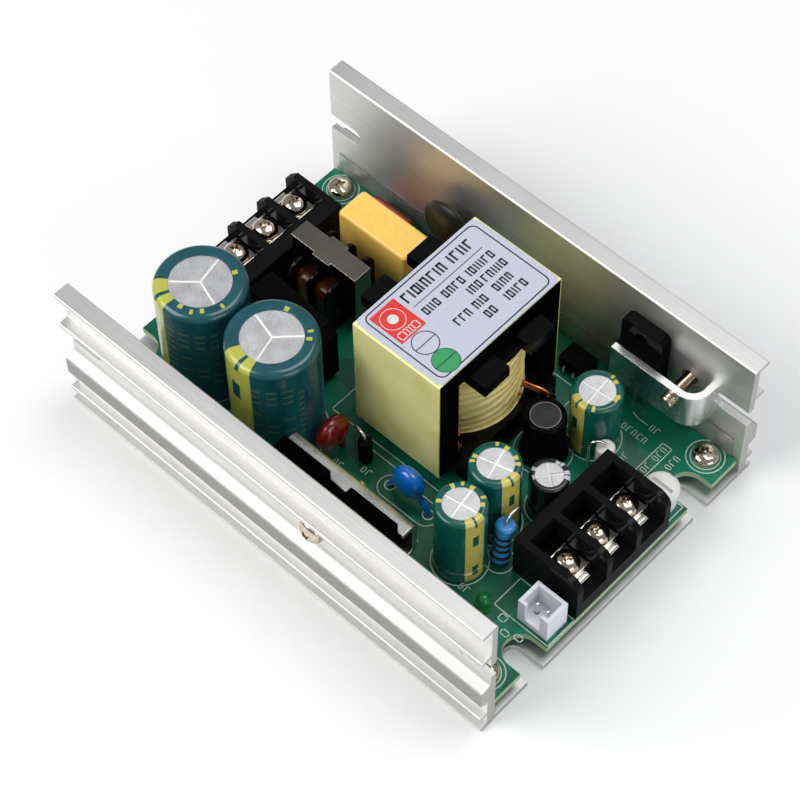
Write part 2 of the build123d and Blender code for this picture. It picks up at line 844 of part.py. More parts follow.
def transformer_pin_spots():
    """Where the transformer's pins pass through the board."""
    core_x = core_width / 2 + tape_thickness + bobbin_gap
    x = (core_x + bobbin_rail_reach) / 2
    return [(transformer_centre[0] + side * x,
             transformer_centre[1] + (i - (bobbin_pins - 1) / 2) * bobbin_pin_pitch)
            for side in (-1, 1) for i in range(bobbin_pins)]


def transformer_winding():
    """The taped winding: one coil with a soft ridge for each band of tape."""
    z0 = core_lift + core_plate + bobbin_gap + bobbin_flange
    z1 = core_lift + core_height - core_plate - bobbin_gap - bobbin_flange
    bore = core_post / 2 + bobbin_gap + bobbin_wall
    crest = winding_diameter / 2
    valley = crest - 0.35
    step = (z1 - z0) / winding_bands
    points = [(bore, z0), (valley, z0)]
    for i in range(winding_bands):
        base = z0 + i * step
        points.append((crest, base + step * 0.3))
        points.append((crest, base + step * 0.7))
        points.append((valley, base + step))
    points.append((bore, z1))
    return turned(points, (0, 0), 0)


def transformer_tape():
    """A band of tape right round the core, over its long faces, top and bottom."""
    t = tape_thickness
    width = core_width - tape_margin
    z0 = core_lift
    z1 = core_lift + core_height
    outer = Pos(0, (z0 + z1) / 2) * Rectangle(core_length + 2 * t, z1 - z0 + 2 * t)
    inner = Pos(0, (z0 + z1) / 2) * Rectangle(core_length, z1 - z0)
    outer = fillet(outer.vertices(), t * 1.2)
    return extrude(Plane.YZ * (outer - inner), amount=width / 2, both=True)


def transformer_label():
    """A thin label with round corners on the tape's top."""
    outline = RectangleRounded(core_width - tape_margin, label_length, label_corner)
    z = core_lift + core_height + tape_thickness
    return Pos(0, 0, z) * extrude(outline, amount=label_thickness)


def drum_core():
    """A bobbin-shaped ferrite drum."""
    r = drum_diameter / 2
    neck = drum_neck / 2
    h = drum_height
    return turned([(0, 0), (r, 0), (r, drum_rim), (neck, drum_rim), (neck, h - drum_rim),
                   (r, h - drum_rim), (r, h - 0.2), (r - 0.2, h), (0, h)], drum_centre, board_top)


def drum_winding():
    """The coil in the drum's neck."""
    r = drum_diameter / 2 - 0.3
    neck = drum_neck / 2
    return turned([(neck, drum_rim), (r, drum_rim), (r, drum_height - drum_rim),
                   (neck, drum_height - drum_rim)], drum_centre, board_top)


def drum_sleeve():
    """Heat-shrink round the drum: curled over its top and flared at its foot."""
    r = drum_diameter / 2
    t = shrink_thickness
    skirt = drum_skirt / 2
    h = drum_height
    return turned([(r, 0.2), (skirt, 0.2), (skirt - 0.3, drum_skirt_height * 0.6),
                   (r + t, drum_skirt_height), (r + t, h - 0.4), (r, h + t),
                   (drum_face / 2, h + t), (drum_face / 2, h), (r - 0.2, h), (r, h - 0.2)],
                  drum_centre, board_top)


def banded_axis():
    """The leaning resistor's own frame: its foot on the board."""
    return (Pos(banded_centre[0], banded_centre[1], board_top + banded_lift)
            * Rot(-banded_lean, 0, 0))


def banded_resistor():
    """A dumbbell-shaped resistor body standing on end."""
    r = banded_diameter / 2
    w = banded_waist / 2
    h = banded_length
    cap = h * 0.24
    return banded_axis() * turned([(0, 0), (r * 0.6, 0), (r, 0.7), (r, cap), (w, cap + 0.6),
                                   (w, h - cap - 0.6), (r, h - cap), (r, h - 0.7), (r * 0.6, h),
                                   (0, h)], (0, 0), 0)


def hairpin(spot, top, offset_xy, base):
    """A lead that rises from a body's top, turns over and goes down through the board."""
    x, y = spot
    dx, dy = offset_xy
    crown = top + lead_loop
    return wire([(x, y, base), (x, y, crown), (x + dx, y + dy, crown),
                 (x + dx, y + dy, board_bottom - lead_tail)], lead_loop * 0.9, small_lead)


def banded_leads():
    """The resistor's lower lead and the hairpin from its top."""
    lean = math.radians(banded_lean)
    tip_y = banded_centre[1] + banded_length * math.sin(lean)
    tip_z = board_top + banded_lift + banded_length * math.cos(lean)
    return [through_lead(banded_centre, board_top + banded_lift),
            hairpin((banded_centre[0], tip_y), tip_z, (0, banded_lead_offset), tip_z)]


def banded_spots():
    """Where the resistor's leads pass through the board."""
    tip_y = banded_centre[1] + banded_length * math.sin(math.radians(banded_lean))
    return [banded_centre, (banded_centre[0], tip_y + banded_lead_offset)]


def upright_body(centre, diameter, body_length, lift):
    """An axial body standing on end, with soft ends."""
    body = rod(centre, diameter, board_top + lift, board_top + lift + body_length)
    return fillet(body.edges().filter_by(GeomType.CIRCLE), diameter * 0.2)


def upright_leads(centre, body_length, lift, offset_xy):
    """Its lower lead and the hairpin beside it."""
    top = board_top + lift + body_length
    return [through_lead(centre, board_top + lift),
            hairpin(centre, top, offset_xy, top)]


def status_led():
    """A small domed lamp with a rim."""
    r = led_diameter / 2
    h = led_height
    return turned([(0, 0), (r + 0.2, 0), (r + 0.2, 0.7), (r, 0.7), (r, h - r * 0.9),
                   (r * 0.75, h - r * 0.3), (r * 0.35, h), (0, h)], led_centre, board_top)


def connector_housing():
    """An open-topped shroud with a keying notch in its -Y wall."""
    sx, sy, sz = header_size
    body = brick(header_centre, header_size, board_top)
    x, y = header_centre
    w = header_wall
    body -= slab(x - sx / 2 + w, x + sx / 2 - w, y - sy / 2 + w, y + sy / 2 - w,
                 board_top + header_floor, board_top + sz + 1)
    body -= slab(x - header_notch / 2, x + header_notch / 2, y - sy / 2 - 1, y - sy / 2 + w + fit,
                 board_top + header_floor, board_top + sz + 1)
    for spot in header_spots():
        body -= slab(spot[0] - header_pin / 2 - fit, spot[0] + header_pin / 2 + fit,
                     spot[1] - header_pin / 2 - fit, spot[1] + header_pin / 2 + fit,
                     board_top - 1, board_top + header_floor + 1)
    return body


def header_spots():
    """Where the header's pins stand."""
    return pair_spots(header_centre, header_pin_pitch)


def connector_pins():
    """Square pins through the housing's floor and the board."""
    half = header_pin / 2
    return [slab(x - half, x + half, y - half, y + half, board_bottom - lead_tail,
                 board_top + header_floor + header_pin_rise) for x, y in header_spots()]


def trimmer_body():
    """The trimmer's base, with a bore for the rotor's shaft."""
    top = board_top + trimmer_body_height
    body = rod(trimmer_centre, trimmer_body_diameter, board_top, top)
    return body - rod(trimmer_centre, trimmer_shaft + 2 * trimmer_shaft_play,
                      top - trimmer_bore_depth - trimmer_play, top + 1)


def trimmer_rotor():
    """The domed rotor with its screwdriver slot, a key step in its rim and a short shaft."""
    z0 = board_top + trimmer_body_height + trimmer_play
    r = trimmer_rotor_diameter / 2
    h = trimmer_rotor_height
    body = turned([(0, 0), (r, 0), (r, h - trimmer_dome), (r * 0.86, h - trimmer_dome * 0.45),
                   (r * 0.55, h - trimmer_dome * 0.1), (0, h)], trimmer_centre, z0)
    x, y = trimmer_centre
    body -= slab(x - r * 0.7, x + r * 0.7, y - trimmer_slot_width / 2, y + trimmer_slot_width / 2,
                 z0 + h - trimmer_slot_depth, z0 + h + 1)
    body -= slab(x - trimmer_key / 2, x + trimmer_key / 2, y + r - trimmer_key / 2, y + r + 1,
                 z0 - 1, z0 + h + 1)
    return body + rod(trimmer_centre, trimmer_shaft, z0 - trimmer_bore_depth, z0)


def package_body():
    """A full-moulded power package: back on y = 0, front at -y, foot at z = 0, centred in x."""
    half = package_width / 2
    lower = package_length - package_tab_length
    body = slab(-half, half, -package_thickness, 0, 0, lower)
    tab = slab(-half, half, -package_tab_thickness, 0, lower, package_length)
    corners = tab.edges().filter_by(Axis.Y).group_by(Axis.Z)[-1]
    tab = chamfer(corners, package_chamfer)
    tab -= rod_y(0, lower + package_tab_length / 2, package_hole, -package_tab_thickness - 1, 1)
    return body + tab


def package_leads(bottom):
    """Three flat leads straight down from a package's foot, through the board."""
    solids = []
    for i in (-1, 0, 1):
        x = i * package_lead_pitch
        solids.append(slab(x - package_lead_width / 2, x + package_lead_width / 2,
                           -package_tab_thickness - package_lead_thickness / 2,
                           -package_tab_thickness + package_lead_thickness / 2,
                           board_bottom - lead_tail - bottom, 0))
    return solids


def clamp_strip():
    """A J-shaped steel strip: flat on the rectifier, bent round to stand on the wall."""
    front = inner_y - package_thickness - clamp_thickness
    t = clamp_thickness
    outer = [(clamp_start_x, front), (clamp_bend_x, front), (clamp_bend_x, inner_y),
             (clamp_bend_x - t, inner_y), (clamp_bend_x - t, front + t),
             (clamp_start_x, front + t)]
    face = make_face(Polyline(*outer, close=True))
    face = fillet(nearest(face, (clamp_bend_x, front, 0)), clamp_radius)
    face = fillet(nearest(face, (clamp_bend_x - t, front + t, 0)), clamp_radius - t)
    body = Pos(0, 0, clamp_bottom) * extrude(face, amount=clamp_top - clamp_bottom)
    return body - rod_y(clamp_screw_x, wall_screw_height, thread_diameter + 2 * fit, front - 1,
                        inner_y - 0.5)


def wall_screw(x, side, tip_y):
    """A screw from outside a wall, its head on the wall's face."""
    shank = wall_face_y - abs(tip_y)
    screw = pan_screw(shank, pan_head_diameter, fin_reach - 0.2)
    return (Pos(x, side * wall_face_y, wall_screw_height) * Rot(-90 * side, 0, 0)
            * Rot(0, 0, 30) * screw)


def switch_front():
    """How far in from the left wall the sleeved transistors reach."""
    return 2 * switch_sleeve + package_thickness


def transistor_sleeves():
    """Soft insulating caps over the transistors, against the left wall."""
    solids = []
    s = switch_sleeve
    for x in switch_spots:
        half = package_width / 2 + fit
        outer = slab(x - half - s, x + half + s, -inner_y, -inner_y + switch_front() + 2 * fit,
                     switch_bottom, switch_bottom + package_length + s + fit)
        solids.append(outer - slab(x - half, x + half, -inner_y + s,
                                   -inner_y + s + package_thickness + 2 * fit,
                                   switch_bottom - 1, switch_bottom + package_length + fit))
    return solids


def clamp_bar():
    """A pressed channel: web to the board, two curved flanges back to the transistors."""
    back = -inner_y + switch_front() + 2 * fit
    z_mid = wall_screw_height
    outline = Pos(back + bar_depth / 2, z_mid) * Rectangle(bar_depth, bar_height)
    corners = outline.vertices().group_by(Axis.X)[-1]
    outline = fillet(corners, bar_radius)
    hollow_depth = bar_depth - bar_thickness
    hollow = Pos(back + hollow_depth / 2, z_mid) * Rectangle(hollow_depth,
                                                            bar_height - 2 * bar_thickness)
    inner_corners = hollow.vertices().group_by(Axis.X)[-1]
    hollow = fillet(inner_corners, bar_radius - bar_thickness / 2)
    body = Pos(switch_x, 0, 0) * extrude(Plane.YZ * (outline - hollow), amount=bar_length / 2,
                                         both=True)
    return body - rod_y(switch_x, z_mid, thread_diameter + 2 * fit, back, back + bar_depth + 1)


def chip_body(centre, size):
    """A dual in-line moulding a little above the board."""
    return brick(centre, size, board_top + chip_lift)


def chip_leads(centre, size, lead_count):
    """A chip's leads, which come out of its sides and go down through the board."""
    leads = []
    for side in (-1, 1):
        for i in range(lead_count):
            x = centre[0] + (i - (lead_count - 1) / 2) * chip_lead_pitch
            y0, y1 = sorted((centre[1] + side * size[1] / 2,
                             centre[1] + side * (size[1] / 2 + chip_lead_reach)))
            leads.append(slab(x - chip_lead_width / 2, x + chip_lead_width / 2, y0, y1,
                              board_bottom - lead_tail, board_top + chip_lift + size[2] / 2))
    return leads


def make_board(round_spots, slot_spots):
    """The circuit board: end notches, screw holes and lead holes."""
    outline = Rectangle(board_length, board_width)
    for sx in (-1, 1):
        for sy in (-1, 1):
            x = sx * (board_length / 2 - notch_depth + notch_radius)
            y = sy * floor_slot_offset
            outline -= Pos(x, y) * Circle(notch_radius)
            outline -= Pos(x + sx * notch_depth / 2, y) * Rectangle(notch_depth,
                                                                   2 * notch_radius)
    for spot in board_screw_spots:
        outline -= Pos(*spot) * Circle(thread_diameter / 2 + fit)
    board = Pos(0, 0, board_bottom) * extrude(outline, amount=board_thickness)
    radius = small_lead / 2 + lead_clearance
    for x, y in round_spots:
        board -= rod((x, y), 2 * radius, board_bottom - 1, board_top + 1)
    for x, y, wx, wy in slot_spots:
        board -= slab(x - wx / 2 - fit, x + wx / 2 + fit, y - wy / 2 - fit, y + wy / 2 + fit,
                      board_bottom - 1, board_top + 1)
    return board


def board_holes(input_place, output_place):
    """Every round lead hole and every rectangular pin hole in the board."""
    round_spots = []
    round_spots += fuse_lead_spots()
    round_spots += pair_spots(thermistor_centre, thermistor_lead_spacing)
    round_spots += transformer_pin_spots()
    round_spots += pair_spots(disc_centre, disc_leg_spacing)
    round_spots += pair_spots(dip_centre, dip_leg_spacing, along_x=False)
    round_spots += banded_spots()
    for centre, offset_xy in ((upright_centre, upright_lead_offset),
                              (diode_centre, diode_lead_offset)):
        round_spots += [centre, (centre[0] + offset_xy[0], centre[1] + offset_xy[1])]
    slot_spots = []
    for spot in header_spots():
        slot_spots.append((spot[0], spot[1], header_pin, header_pin))
    for x, y in bridge_leads:
        slot_spots.append((x, y, package_lead_width, package_lead_width))
    for i in (-1, 0, 1):
        x = i * package_lead_pitch
        slot_spots.append((rectifier_x + x, rectifier_lead_y, package_lead_width,
                           package_lead_thickness))
        for centre in switch_spots:
            slot_spots.append((centre + x, switch_lead_y, package_lead_width,
                               package_lead_thickness))
    for centre, size, count in ((chip_centre, chip_size, chip_lead_count),
                                (opto_centre, opto_size, opto_lead_count)):
        for side in (-1, 1):
            y = centre[1] + side * (size[1] + chip_lead_reach) / 2
            for i in range(count):
                x = centre[0] + (i - (count - 1) / 2) * chip_lead_pitch
                slot_spots.append((x, y, chip_lead_width, chip_lead_reach))
    for spot in (pin_spots(input_block_depth, input_back, input_place)
                 + pin_spots(output_block_depth, output_back, output_place)):
        slot_spots.append((spot.X, spot.Y, terminal_pin, terminal_pin))
    return round_spots, slot_spots


def write_frame(input_place, output_place):
    """Chassis, board and what joins them."""
    save("chassis", make_chassis())
    save("board_standoffs", *make_standoffs())
    save("circuit_board", make_board(*board_holes(input_place, output_place)))
    save("board_screws", *make_board_screws())
    save("insulating_film", make_film())


def write_input_parts():
    """Choke, box capacitor, fuse, thermistor, bridge and bulk capacitors."""
    place = choke_place()
    save("choke_core", place * choke_core())
    save("choke_bobbin", place * choke_bobbin())
    save("choke_windings", *[place * s for s in choke_windings()])
    save("choke_clip", place * choke_clip())
    save("x_capacitor", x_capacitor())
    save("fuse", fuse_body())
    save("thermistor", coated_disc(thermistor_centre, thermistor_diameter, thermistor_thickness,
                                   thermistor_lift, thermistor_lead_spacing, coated_leg))
    save("bridge_rectifier", bridge_rectifier())
    for number, spot, turn in ((1, bulk_1, 60), (2, bulk_2, 0)):
        can, sleeve, foot = can_and_sleeve(spot, bulk_diameter, bulk_height, bulk_rim, 1.0)
        can -= vents(spot, bulk_height, bulk_diameter - 2 * bulk_rim, 3, turn)
        save(f"bulk_capacitor_{number}", can + foot)
        save(f"bulk_sleeve_{number}", sleeve)


def write_transformer():
    """Core, bobbin, winding, pins, tape and label."""
    place = transformer_place()
    save("transformer_core", place * transformer_core())
    save("transformer_bobbin", place * transformer_bobbin())
    save("transformer_winding", place * transformer_winding())
    save("transformer_pins", *[place * s for s in transformer_pins()])
    save("transformer_tape", place * transformer_tape())
    save("transformer_label", place * transformer_label())


def write_output_parts():
    """Drum inductor, output capacitors and the clamped rectifier."""
    save("inductor_core", drum_core())
    save("inductor_winding", drum_winding())
    save("inductor_sleeve", drum_sleeve())
    heights = (output_short, output_tall, output_tall)
    turns = (12, 20, 8)
    sleeves = []
    for i, spot in enumerate(output_capacitor_spots):
        can, sleeve, foot = can_and_sleeve(spot, output_diameter, heights[i], output_rim,
                                           output_bung)
        can -= vents(spot, heights[i], output_diameter - 2 * output_rim, 4, turns[i])
        save(f"output_capacitor_{i + 1}", can + foot)
        sleeves.append(sleeve)
    save("output_sleeves", *sleeves)
    can, sleeve, foot = can_and_sleeve(small_centre, small_diameter, small_height, small_rim,
                                       output_bung)
    can -= vents(small_centre, small_height, small_diameter - 2 * small_rim, 4, 50)
    save("small_capacitor", can + foot)
    save("small_sleeve", sleeve)
    save("output_rectifier", rectifier_place() * package_body())
    save("clamp_strip", clamp_strip())
    tip = inner_y - package_thickness - clamp_thickness - clamp_screw_tip
    save("clamp_strip_screw", wall_screw(clamp_screw_x, 1, tip))


def switch_place(x):
    """Where a transistor stands: its back on its sleeve, facing the board."""
    return Pos(x, -inner_y + switch_sleeve, switch_bottom) * Rot(0, 0, 180)


def rectifier_place():
    """Where the output rectifier stands: its back on the right wall."""
    return Pos(rectifier_x, inner_y, rectifier_bottom)


def write_leads():
    """The leads of the power packages, and those of the small parts."""
    half = package_lead_width / 2
    power = [slab(x - half, x + half, y - half, y + half, board_bottom - lead_tail,
                  board_top + bridge_lift) for x, y in bridge_leads]
    power += [rectifier_place() * lead for lead in package_leads(rectifier_bottom)]
    for x in switch_spots:
        power += [switch_place(x) * lead for lead in package_leads(switch_bottom)]
    save("power_leads", *power)
    small = fuse_leads()
    small += stub_leads(pair_spots(thermistor_centre, thermistor_lead_spacing))
    small += stub_leads(pair_spots(disc_centre, disc_leg_spacing))
    small += stub_leads(pair_spots(dip_centre, dip_leg_spacing, along_x=False))
    small += banded_leads()
    small += upright_leads(upright_centre, upright_length, upright_lift, upright_lead_offset)
    small += upright_leads(diode_centre, diode_length, diode_lift, diode_lead_offset)
    small += chip_leads(chip_centre, chip_size, chip_lead_count)
    small += chip_leads(opto_centre, opto_size, opto_lead_count)
    save("component_leads", *small)


def write_switches():
    """Switching transistors, their sleeves, clamp bar and screw on the left wall."""
    save("switching_transistors", *[switch_place(x) * package_body() for x in switch_spots])
    save("transistor_sleeves", *transistor_sleeves())
    save("clamp_bar", clamp_bar())
    tip = inner_y - switch_front() - bar_depth - bar_screw_tip
    save("clamp_bar_screw", wall_screw(switch_x, -1, tip))


def write_small_parts():
    """The small parts on the board."""
    save("disc_capacitor", coated_disc(disc_centre, disc_diameter, disc_thickness, disc_lift,
                                       disc_leg_spacing, coated_leg))
    save("dipped_capacitor", coated_disc(dip_centre, dip_diameter, dip_thickness, dip_lift,
                                         dip_leg_spacing, coated_leg, along_x=False))
    save("banded_resistor", banded_resistor())
    save("upright_resistor", upright_body(upright_centre, upright_diameter, upright_length,
                                          upright_lift))
    save("startup_diode", upright_body(diode_centre, diode_diameter, diode_length, diode_lift))
    save("status_led", status_led())
    save("connector_housing", connector_housing())
    save("connector_pins", *connector_pins())
    save("trimmer_body", trimmer_body())
    save("trimmer_rotor", trimmer_rotor())
    save("control_chips", chip_body(chip_centre, chip_size), chip_body(opto_centre, opto_size))


def main():
    """Build every node."""
    os.makedirs("parts", exist_ok=True)
    input_place = Pos(input_back_x, input_block_centre, board_top) * Rot(0, 0, 180)
    output_place = Pos(output_back_x, output_block_centre, board_top)
    write_frame(input_place, output_place)
    write_blocks(input_place, output_place)
    write_input_parts()
    write_transformer()
    write_output_parts()
    write_switches()
    write_small_parts()
    write_leads()


main()
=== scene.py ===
"""Looks of an open-frame switching power supply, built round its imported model.

Sizes in the classes are millimetres, in the row's own frame: X runs along the walls to
the output terminals, Y to the right wall, and Z up. Meshes end up in metres.
"""

import logging
import math
import random
from dataclasses import dataclass
from enum import Enum

import bmesh
import bpy
from mathutils import Matrix, Vector


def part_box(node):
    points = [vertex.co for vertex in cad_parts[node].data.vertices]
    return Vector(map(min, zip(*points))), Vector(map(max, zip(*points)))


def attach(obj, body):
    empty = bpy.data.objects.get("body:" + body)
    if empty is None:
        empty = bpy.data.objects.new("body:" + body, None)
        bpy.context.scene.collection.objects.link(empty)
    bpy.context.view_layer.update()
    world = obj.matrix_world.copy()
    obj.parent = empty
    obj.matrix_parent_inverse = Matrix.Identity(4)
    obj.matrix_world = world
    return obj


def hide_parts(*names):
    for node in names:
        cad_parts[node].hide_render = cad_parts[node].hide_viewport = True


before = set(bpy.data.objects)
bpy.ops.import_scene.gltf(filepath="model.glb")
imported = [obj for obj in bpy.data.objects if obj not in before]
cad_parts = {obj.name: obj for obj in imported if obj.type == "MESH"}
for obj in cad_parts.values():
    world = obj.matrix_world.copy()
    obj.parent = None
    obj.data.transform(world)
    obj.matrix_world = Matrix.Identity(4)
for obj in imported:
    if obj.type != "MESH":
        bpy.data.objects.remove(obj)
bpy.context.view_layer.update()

MM = 0.001
SUPPLY = "supply"
ROTOR = "trimmer_rotor"
FULL_STEPS = 64
FINE_STEPS = 96
SMALL_STEPS = 48
SHARP_ANGLE = 38.0

Colour = tuple[float, float, float]
Point = tuple[float, float, float]
Spot = tuple[float, float]
Profile = list[Spot]
Socket = bpy.types.NodeSocket


def low(node: str) -> Vector:
    """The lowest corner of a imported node, in millimetres."""
    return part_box(node)[0] / MM


def high(node: str) -> Vector:
    """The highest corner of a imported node, in millimetres."""
    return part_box(node)[1] / MM


def middle(node: str) -> Vector:
    """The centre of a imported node's box, in millimetres."""
    return (low(node) + high(node)) / 2


def scaled(colour: Colour, share: float) -> Colour:
    """A darker shade of a colour."""
    return tuple(c * share for c in colour)


def arc(centre: Spot, radius: float, start: float, end: float, count: int = 6) -> Profile:
    """Points along an arc in a profile.

    Args:
        centre: the arc's centre as (radius, height).
        radius: the arc's own radius.
        start: the first angle in degrees, from the radius axis towards the height axis.
        end: the last angle in degrees.
        count: how many steps the arc has.

    Returns:
        The points from the first angle to the last.
    """
    angles = [math.radians(start + (end - start) * i / count) for i in range(count + 1)]
    return [(centre[0] + radius * math.cos(a), centre[1] + radius * math.sin(a))
            for a in angles]


class Graph:
    """A material's nodes, with short calls for those that the finishes share."""

    def __init__(self, name: str) -> None:
        """Start a material with one shader.

        Args:
            name: the material's name.
        """
        self.material = bpy.data.materials.new(name)
        self.material.use_nodes = True
        self.tree = self.material.node_tree
        self.tree.nodes.clear()
        self.shader = self.tree.nodes.new("ShaderNodeBsdfPrincipled")
        output = self.tree.nodes.new("ShaderNodeOutputMaterial")
        self.tree.links.new(self.shader.outputs[0], output.inputs[0])

    def put(self, socket: Socket, value: object) -> None:
        """Link a socket to another one, or set its value."""
        if isinstance(value, Socket):
            self.tree.links.new(value, socket)
        elif isinstance(value, tuple) and len(value) == 3 and socket.type == "RGBA":
            socket.default_value = (*value, 1.0)
        else:
            socket.default_value = value

    def set(self, **values: object) -> None:
        """Set the shader's sockets, with underscores for the spaces in their names."""
        for name, value in values.items():
            self.put(self.shader.inputs[name.replace("_", " ")], value)

    def add(self, kind: str, inputs: dict[object, object] | None = None,
            **settings: object) -> bpy.types.Node:
        """Add a node.

        Args:
            kind: the node's type, without the leading word ShaderNode.
            inputs: what goes into its sockets, by name or number.
            settings: the node's own settings.

        Returns:
            The node.
        """
        node = self.tree.nodes.new("ShaderNode" + kind)
        for name, value in settings.items():
            setattr(node, name, value)
        for name, value in (inputs or {}).items():
            self.put(node.inputs[name], value)
        return node

    def place(self, centre: Point = (0, 0, 0), turn: Point = (0, 0, 0),
              stretch: Point = (1, 1, 1)) -> Socket:
        """Millimetres from a centre, in a turned frame, each axis divided by a length.

        Args:
            centre: where the pattern is centred, in millimetres.
            turn: the frame's turn about X, Y and Z in degrees.
            stretch: the length that counts as one unit on each axis.

        Returns:
            The socket of the vector.
        """
        where = self.add("TexCoord").outputs["Object"]
        mapping = self.add("Mapping", {
            "Vector": where,
            "Location": tuple(c * MM for c in centre),
            "Rotation": tuple(math.radians(t) for t in turn),
            "Scale": tuple(s * MM for s in stretch)}, vector_type="TEXTURE")
        return mapping.outputs[0]

    def noise(self, stretch: Point, detail: float = 3.0, rough: float = 0.5) -> Socket:
        """A noise value from 0 to 1, its features as long as the stretch on each axis."""
        node = self.add("TexNoise", {"Vector": self.place(stretch=stretch), "Scale": 1.0,
                                     "Detail": detail, "Roughness": rough})
        return node.outputs[0]

    def split(self, vector: Socket) -> bpy.types.bpy_prop_collection:
        """The three parts of a vector."""
        return self.add("SeparateXYZ", {0: vector}).outputs

    def facing(self, axis: int) -> Socket:
        """How far a face looks along an axis, either way, from 0 to 1."""
        normal = self.split(self.add("TexCoord").outputs["Normal"])
        return self.sums("ABSOLUTE", normal[axis])

    def sums(self, operation: str, *values: object) -> Socket:
        """One step of arithmetic."""
        return self.add("Math", dict(enumerate(values)), operation=operation).outputs[0]

    def span(self, value: Socket, start: float, end: float, first: float = 0.0,
             last: float = 1.0) -> Socket:
        """Map a value from one range to another, and hold it there."""
        node = self.add("MapRange", {0: value, 1: start, 2: end, 3: first, 4: last})
        return node.outputs[0]

    def ramp(self, value: Socket, *stops: tuple[float, Colour],
             sharp: bool = False) -> Socket:
        """Colours along a value from 0 to 1.

        Args:
            value: the socket that picks the colour.
            stops: places along it with their colours.
            sharp: whether the colours change without a blend.

        Returns:
            The socket of the colour.
        """
        node = self.add("ValToRGB", {0: value})
        node.color_ramp.interpolation = "CONSTANT" if sharp else "LINEAR"
        elements = node.color_ramp.elements
        while len(elements) < len(stops):
            elements.new(1.0)
        for element, (position, colour) in zip(elements, stops):
            element.position = position
            element.color = (*colour, 1.0)
        return node.outputs[0]

    def mix(self, amount: object, first: object, second: object) -> Socket:
        """The first colour where the amount is 0 and the second where it is 1."""
        node = self.add("Mix", {0: amount, 6: first, 7: second}, data_type="RGBA")
        return node.outputs[2]

    def bump(self, height: Socket, depth: float, strength: float = 1.0) -> None:
        """Let a height from 0 to 1 roughen the surface by a depth in millimetres."""
        node = self.add("Bump", {"Height": height, "Distance": depth * MM,
                                 "Strength": strength})
        self.set(Normal=node.outputs[0])

    def polar(self, centre: tuple[float, float]) -> tuple[Socket, ...]:
        """Cylinder coordinates about an upright axis.

        Args:
            centre: the axis's X and Y in millimetres.

        Returns:
            The angle in radians, the distance from the axis and the height.
        """
        parts = self.split(self.place((*centre, 0)))
        angle = self.sums("ARCTAN2", parts[1], parts[0])
        reach = self.sums("SQRT", self.sums("ADD", self.sums("MULTIPLY", parts[0], parts[0]),
                                            self.sums("MULTIPLY", parts[1], parts[1])))
        return angle, reach, parts[2]

    def near_angle(self, angle: Socket, at: float,
                   half: float) -> Socket:
        """1 where an angle lies within half a width of another, in degrees."""
        turned = self.sums("WRAP", self.sums("SUBTRACT", angle, math.radians(at)),
                           math.pi, -math.pi)
        return self.sums("LESS_THAN", self.sums("ABSOLUTE", turned), math.radians(half))

    def between(self, value: Socket, start: float,
                end: float) -> Socket:
        """1 where a value lies between two limits."""
        return self.sums("MULTIPLY", self.sums("GREATER_THAN", value, start),
                         self.sums("LESS_THAN", value, end))


class Finish:
    """A surface finish, whose material is made once and then shared."""

    def material(self) -> bpy.types.Material:
        """The finish's material, made at its first use.

        Returns:
            The material.
        """
        name = f"{self.name}_look"
        found = bpy.data.materials.get(name)
        if found is None:
            graph = Graph(name)
            self.build(graph)
            found = graph.material
        return found

    def build(self, graph: Graph) -> None:
        """Lay out the finish's nodes."""
        raise NotImplementedError


@dataclass(frozen=True)
class Metal(Finish):
    """Bare or plated metal with a rolled, brushed or tumbled grain."""

    name: str
    colour: Colour
    roughness: float = 0.3
    grain: Point = (0.6, 0.6, 0.6)
    depth: float = 0.004
    spread: float = 0.12
    shade: float = 0.12

    def build(self, graph: Graph) -> None:
        """Grain in the roughness, the shade and the surface.

        Args:
            graph: the material's nodes, which it lays out.
        """
        grain = graph.noise(self.grain, 5, 0.65)
        cloud = graph.noise((6, 6, 6), 2)
        both = graph.sums("MULTIPLY", graph.sums("ADD", grain, cloud), 0.5)
        dark = scaled(self.colour, 1 - self.shade)
        graph.set(Base_Color=graph.ramp(both, (0.35, dark), (0.65, self.colour)), Metallic=1.0,
                  Roughness=graph.span(both, 0.3, 0.7, self.roughness - self.spread / 2,
                                       self.roughness + self.spread / 2))
        graph.bump(grain, self.depth)


@dataclass(frozen=True)
class Moulding(Finish):
    """A moulded plastic with a faint skin and a slight change of shade."""

    name: str
    colour: Colour
    roughness: float = 0.35
    skin: float = 0.003
    shade: float = 0.25
    coat: float = 0.0
    glow: float = 0.0
    shine: float = 0.5

    def build(self, graph: Graph) -> None:
        """Fine skin, clouds of shade and, for pale nylon, light inside.

        Args:
            graph: the material's nodes, which it lays out.
        """
        graph.set(Specular_IOR_Level=self.shine)
        skin = graph.noise((0.18, 0.18, 0.18), 3)
        cloud = graph.noise((4, 4, 4), 3)
        dark = scaled(self.colour, 1 - self.shade)
        graph.set(Base_Color=graph.ramp(cloud, (0.3, dark), (0.7, self.colour)),
                  Roughness=graph.span(cloud, 0.3, 0.7, self.roughness * 0.85,
                                       self.roughness * 1.15))
        if self.coat:
            graph.set(Coat_Weight=self.coat, Coat_Roughness=0.12)
        if self.glow:
            graph.set(Subsurface_Weight=self.glow, Subsurface_Radius=(1.0, 0.9, 0.85),
                      Subsurface_Scale=0.8 * MM)
        graph.bump(skin, self.skin)


